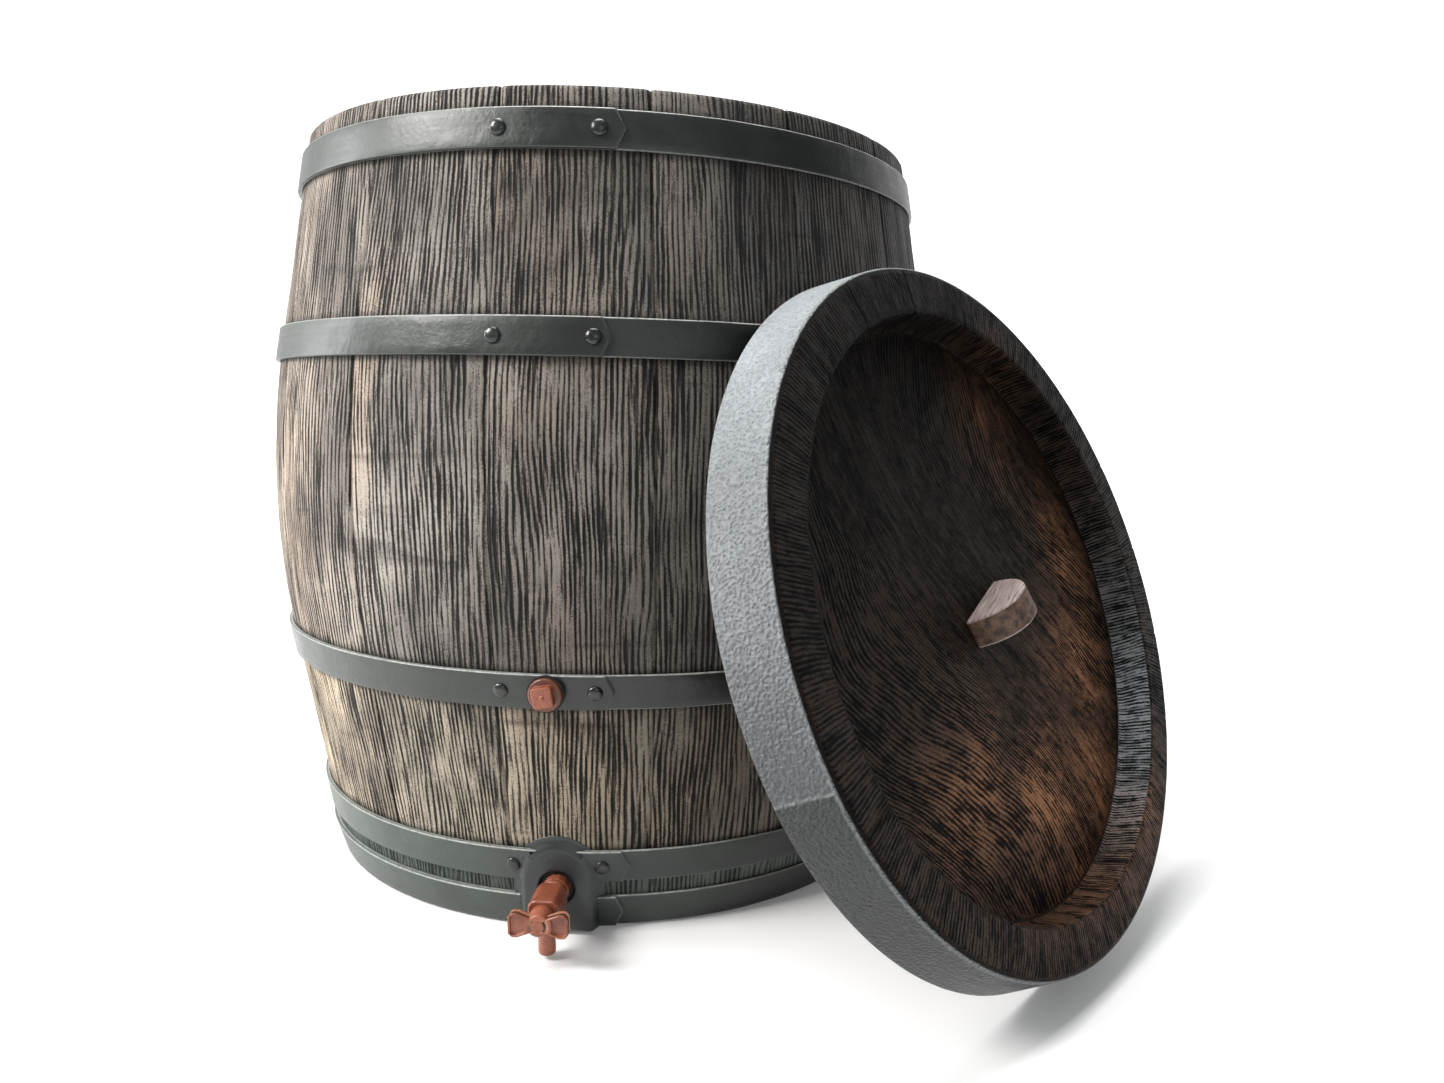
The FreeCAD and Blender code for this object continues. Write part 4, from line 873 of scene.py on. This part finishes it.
def build_plug():
    place = facing(0, -0.2816, PLUG_Z)
    shank = threaded(0.0070, 0.0009, -0.0270, 0.0004, 0.0025, place)
    # grain.z is 1 on the flange, which paints shade on it in the copper
    flange = lathe([(0, 0), (0.0110, 0), (0.0114, 0.0004), (0.0114, 0.0019), (0.0108, 0.0027),
                    (0.0096, 0.0030), (0, 0.0030)], place, 72, 1.0)
    head = prism(dense(box_outline(0.0070, 0.0014), 0.0004, 3), 0.0025, 0.0100, 0.0011,
                 facing(0, -0.2816, PLUG_Z, math.radians(9)))
    pip = lathe([(0, 0.0095), (0.0016, 0.0095), (0.0015, 0.0104), (0.0008, 0.0108), (0, 0.0108)], place, 32)
    parts = (shank, flange, head, pip)
    add_merged("drain_plug_moulding", parts, "plug", "drain_plug", COPPER)


build_tap()
build_handle()
build_plug()

# ------------------------------------------------------------------ the lid
LID = Matrix((ALONG, UP, OUT)).transposed().to_4x4()
LID.translation = LID_AT
LID_NP = np.array(LID)
SKIRT = 0.040        # depth of the skirt, which tapers by LID_TAPER from radius LID_AROUND at its edge
LID_TAPER = 0.008
LID_COLS = 960
LID_ANGLES = np.linspace(0, PI2, LID_COLS, endpoint=False)
LEVEL = np.zeros(LID_COLS)


def lid_points(radius, z):
    """A ring round the lid's own axis, placed in the world."""
    p = np.stack([radius * np.cos(LID_ANGLES), radius * np.sin(LID_ANGLES), z, LEVEL + 1], -1)
    return (p @ LID_NP.T)[..., :3]


def lid_skin(z):
    return LID_AROUND - LID_TAPER * ((z + SKIRT) / SKIRT)


def dish_floor(r):
    """Height of the dished face: flat in the middle, then two slopes down to its edge."""
    return -0.021 - 0.0015 * min(max((r - 0.036) / 0.0748, 0), 1) - 0.0035 * max((r - 0.1108) / 0.0907, 0)


def build_lid():
    """Rings from the middle of the face out: dish, wall, rim ring and skirt, then the hollow underside."""
    half = math.pi / 20
    piece = (LID_ANGLES + half * 1.4) / (2 * half)
    seam_near = half - np.abs((LID_ANGLES + half * 1.4) % (2 * half) - half)
    number = np.floor(piece)
    rows, attrs = [], []

    def ring(radius, z, along, up, stave):
        rows.append(lid_points(LEVEL + radius, LEVEL + z))
        attrs.append(np.stack([along, LEVEL + up, LEVEL + stave], -1))

    def seam(r, deep, wide):
        return -deep * np.exp(-(seam_near * r / wide) ** 2)

    plank = 0.052
    for r in np.concatenate([np.linspace(0.0008, 0.180, 78), np.linspace(0.182, 0.2012, 12)]):
        x, y = r * np.cos(LID_ANGLES - 0.35), r * np.sin(LID_ANGLES - 0.35)
        edge = np.abs((x / plank + 0.5) % 1.0 - 0.5) * plank
        joint = -0.0003 * np.exp(-((plank * 0.5 - edge) / 0.0016) ** 2)
        relief = (joint + 0.0006 * smooth_noise(x * 22, y * 14, 5)) * min(max((r - 0.034) / 0.006, 0), 1)
        swirl = x + 0.05 * np.sin(y * 11 + 0.6) + 0.018 * np.sin(x * 24 + y * 9)
        ring(r, dish_floor(r) + np.minimum(relief, 0.0002), swirl, y, 7.0)
    ribs = 0.00025 * np.sin(LID_ANGLES * 150)
    for z, r in ((-0.0252, 0.2030), (-0.0235, 0.2046), (-0.0190, 0.2050), (-0.0140, 0.2053),
                 (-0.0090, 0.2056), (-0.0050, 0.2058), (-0.0024, 0.2061), (-0.0009, 0.2068)):
        ring(r - ribs - seam(0.206, 0.0016, 0.0014), z, LID_ANGLES * 0.206, z + 5, number + 40)
    for r in np.concatenate([[0.2078], np.linspace(0.209, 0.2340, 16), [0.2352]]):
        wave = 0.0002 * smooth_noise(LID_ANGLES * 30, LEVEL + r * 60, 8)
        z = np.minimum(seam(r, 0.0006, 0.0010) - 0.0003 + wave, 0)
        ring(r, z - (0.0006 if r > 0.235 or r < 0.208 else 0), LID_ANGLES * 0.22, r, number * 3 + 80)
    for z in (-0.0016, -0.003, -0.020, -0.0392, -SKIRT):
        shoulder = 0.0004 if z == -0.0016 else 0
        ring(lid_skin(z) + seam(0.24, 0.0006, 0.0012) - shoulder, z, LID_ANGLES * 0.24, z, 90.0)
    for z in (-SKIRT, -0.0395, -0.020, -0.0026):
        ring(lid_skin(z) - 0.0022, z, LID_ANGLES * 0.24, z, 91.0)
    for r, z in ((0.2330, -0.0022), (0.2105, -0.0022), (0.2084, -0.0026), (0.2072, -0.0245),
                 (0.2060, -0.0270), (0.2035, -0.0282), (0.1108, -0.0247), (0.0360, -0.0232),
                 (0.0008, -0.0232)):
        ring(r, z, r * np.cos(LID_ANGLES), r * np.sin(LID_ANGLES), 95.0)
    faces = [tuple(f) for f in grid_faces(len(rows), LID_COLS, True)]
    faces.append(tuple(reversed(range(LID_COLS))))
    faces.append(tuple(range((len(rows) - 1) * LID_COLS, len(rows) * LID_COLS)))
    add_mesh("lid_moulding", np.concatenate(rows), faces, "lid", "lid_shell",
             np.concatenate(attrs), LID_WOOD)


def build_lid_band():
    """The band round the skirt, with the step of its lapped end at LID_SEAM."""
    past = (LID_ANGLES - LID_SEAM) % PI2
    fading = np.clip(1 - (past - math.radians(40)) / math.radians(25), 0, 1)
    lap = np.clip(past * 0.246 / 0.0010, 0, 1) * fading
    thick = 0.0010 + 0.0005 * lap + 0.00012 * smooth_noise(LID_ANGLES * 8, LEVEL, 31)
    at_seam = np.where(past * 0.246 < 0.0009, 1.0, 0.0)
    # (height, share of the thickness, wear and painted highlight); a share below 0 is the inner face
    section = [(-SKIRT, -1, 0.0), (-SKIRT, 0.3, 0.0), (-0.0396, 0.8, 0.0)]
    section += [(z, 1.0, 0.0) for z in np.linspace(-0.0390, -0.0044, 14)]
    section += [(-0.0036, 1.0, 0.7), (-0.0030, 0.88, 1.0), (-0.0022, 0.55, 1.0), (-0.0020, -1, 0.0)]
    rows, attrs = [], []
    for z, share, wear_and_highlight in section:
        rows.append(lid_points(lid_skin(z) + (thick * share if share > 0 else -0.0004), LEVEL + z))
        attrs.append(np.stack([LID_ANGLES * LID_AROUND, LEVEL + z, np.maximum(wear_and_highlight, at_seam)], -1))
    faces = [tuple(f) for f in grid_faces(len(section), LID_COLS, True, True)]
    add_mesh("lid_strap", np.concatenate(rows), faces, "lid", "lid_band",
             np.concatenate(attrs), LID_BAND)


def build_grip():
    """Half-round tab on edge in the middle of the dish; grain.z is 1 on its two flat sides."""
    seat, half = -0.021, 0.028
    turn = np.linspace(0, math.pi, 60)
    top = np.minimum(seat + 0.033 * np.sin(turn) ** 0.86 * (1 - 0.05 * np.cos(turn + 0.3)), 0.0118)
    flat = [(-half + 2 * half * k / 20, seat) for k in range(1, 20)]
    outline = dense(list(zip(half * np.cos(turn), top)) + flat, 0.0009, 4)
    outline[:, 1] = np.maximum(outline[:, 1], seat)
    on_edge = Matrix(((1, 0, 0, 0), (0, 0, -1, 0), (0, 1, 0, 0), (0, 0, 0, 1)))
    place = LID @ Matrix.Rotation(math.radians(24), 4, "Z") @ on_edge
    points, faces, _ = prism(outline, -0.0105, 0.0105, 0.0016, place, 10)
    own = [place.inverted() @ p for p in points]
    attrs = [(q.x, q.y, 1.0 if abs(q.z) > 0.0092 else 0.0) for q in own]
    add_mesh("lid_grip_tab", points, faces, "lid", "lid_handle", attrs, GRIP_WOOD)


build_lid()
build_lid_band()
build_grip()

# ------------------------------------------------------------------ finishes of the carried-over pieces
CARRIED = {"tap_gasket": RUBBER, "tap_inner_washer": RUBBER, "tap_o_ring": RUBBER, "plug_washer": RUBBER,
           "plug_inner_washer": RUBBER, "tap_back_nut": NUT, "plug_back_nut": NUT, "tap_valve": COPPER,
           "tap_handle_screw": STEEL, "lid_handle_screws": STEEL}
for node, mat in CARRIED.items():
    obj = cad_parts[node]
    for spot in obj.material_slots:
        spot.material = mat
    if not obj.material_slots:
        obj.data.materials.append(mat)


# ------------------------------------------------------------------ floor, light and camera
def floor():
    """Pale paper that curves up behind the object, with painted light: it glows, more strongly with
    distance.
    """
    cols = rows = 40
    points = [(x, y, -0.0004 + max(y - 2.0, 0.0) ** 2 * 0.9)
              for y in np.linspace(-7, 5, rows) for x in np.linspace(-9, 9, cols)]
    mesh = bpy.data.meshes.new("floor")
    mesh.from_pydata(points, [], [tuple(f) for f in grid_faces(rows, cols, False)])
    mesh.polygons.foreach_set("use_smooth", [True] * len(mesh.polygons))
    obj = bpy.data.objects.new("floor", mesh)
    bpy.context.scene.collection.objects.link(obj)
    n = Nodes("floor_paper")
    fibre = n.noise(n.coords(), 3.0, 2.0)
    far = n.math("MULTIPLY_ADD", n.split(n.coords())[1], 0.25, 0.1)
    paper = n.mix(fibre, (0.84, 0.84, 0.84), (0.87, 0.87, 0.87))
    glow = n.value_ramp(far, [(0.1, 0.10), (0.6, 0.75)])
    mesh.materials.append(n.finish(Base_Color=paper, Roughness=0.7, Specular_IOR_Level=0.15,
                                   Emission_Color=(1, 1, 1, 1), Emission_Strength=glow))


def area(name, at, target, size, power, colour=(1, 1, 1)):
    data = bpy.data.lights.new(name, "AREA")
    data.shape = "RECTANGLE"
    data.size, data.size_y = size
    data.energy = power
    data.color = colour
    obj = bpy.data.objects.new(name, data)
    obj.location = at
    obj.rotation_euler = (Vector(target) - Vector(at)).to_track_quat("-Z", "Y").to_euler()
    bpy.context.scene.collection.objects.link(obj)


floor()
area("key", (-1.6, -1.1, 1.8), (0, 0, 0.25), (0.9, 0.9), 76, (1.0, 0.985, 0.96))
area("top", (-0.1, 0.1, 2.3), (0.05, -0.05, 0.3), (1.4, 1.0), 50)
area("fill", (0.9, -2.4, 1.2), (0.1, 0, 0.2), (1.4, 1.0), 6, (0.97, 0.98, 1.0))
area("side_left", (-1.9, 0.0, 0.6), (0, -0.1, 0.2), (0.6, 1.6), 26)
world = bpy.data.worlds.new("studio")
world.use_nodes = True
background = world.node_tree.nodes["Background"]
background.inputs["Color"].default_value = (0.9, 0.92, 0.95, 1)
background.inputs["Strength"].default_value = 0.24
bpy.context.scene.world = world
bpy.context.scene.view_settings.view_transform = "Standard"
bpy.context.scene.view_settings.look = "None"


def camera():
    pan, tilt, roll = math.radians(-2.89), math.radians(-12.28), math.radians(1.25)
    forward = Vector((math.sin(pan) * math.cos(tilt), math.cos(pan) * math.cos(tilt), math.sin(tilt)))
    right = Vector((math.cos(pan), -math.sin(pan), 0))
    up = right.cross(forward)
    side = right * math.cos(roll) + up * math.sin(roll)
    top = up * math.cos(roll) - right * math.sin(roll)
    data = bpy.data.cameras.new("camera")
    data.sensor_width = 36
    data.lens = 25.40
    data.shift_x, data.shift_y = -0.0085, 0.0644
    data.clip_start = 0.02
    obj = bpy.data.objects.new("camera", data)
    m = Matrix((side, top, -forward)).transposed().to_4x4()
    m.translation = Vector((0.1551, -0.9173, 0.3672))
    obj.matrix_world = m
    bpy.context.scene.collection.objects.link(obj)
    bpy.context.scene.camera = obj


camera()
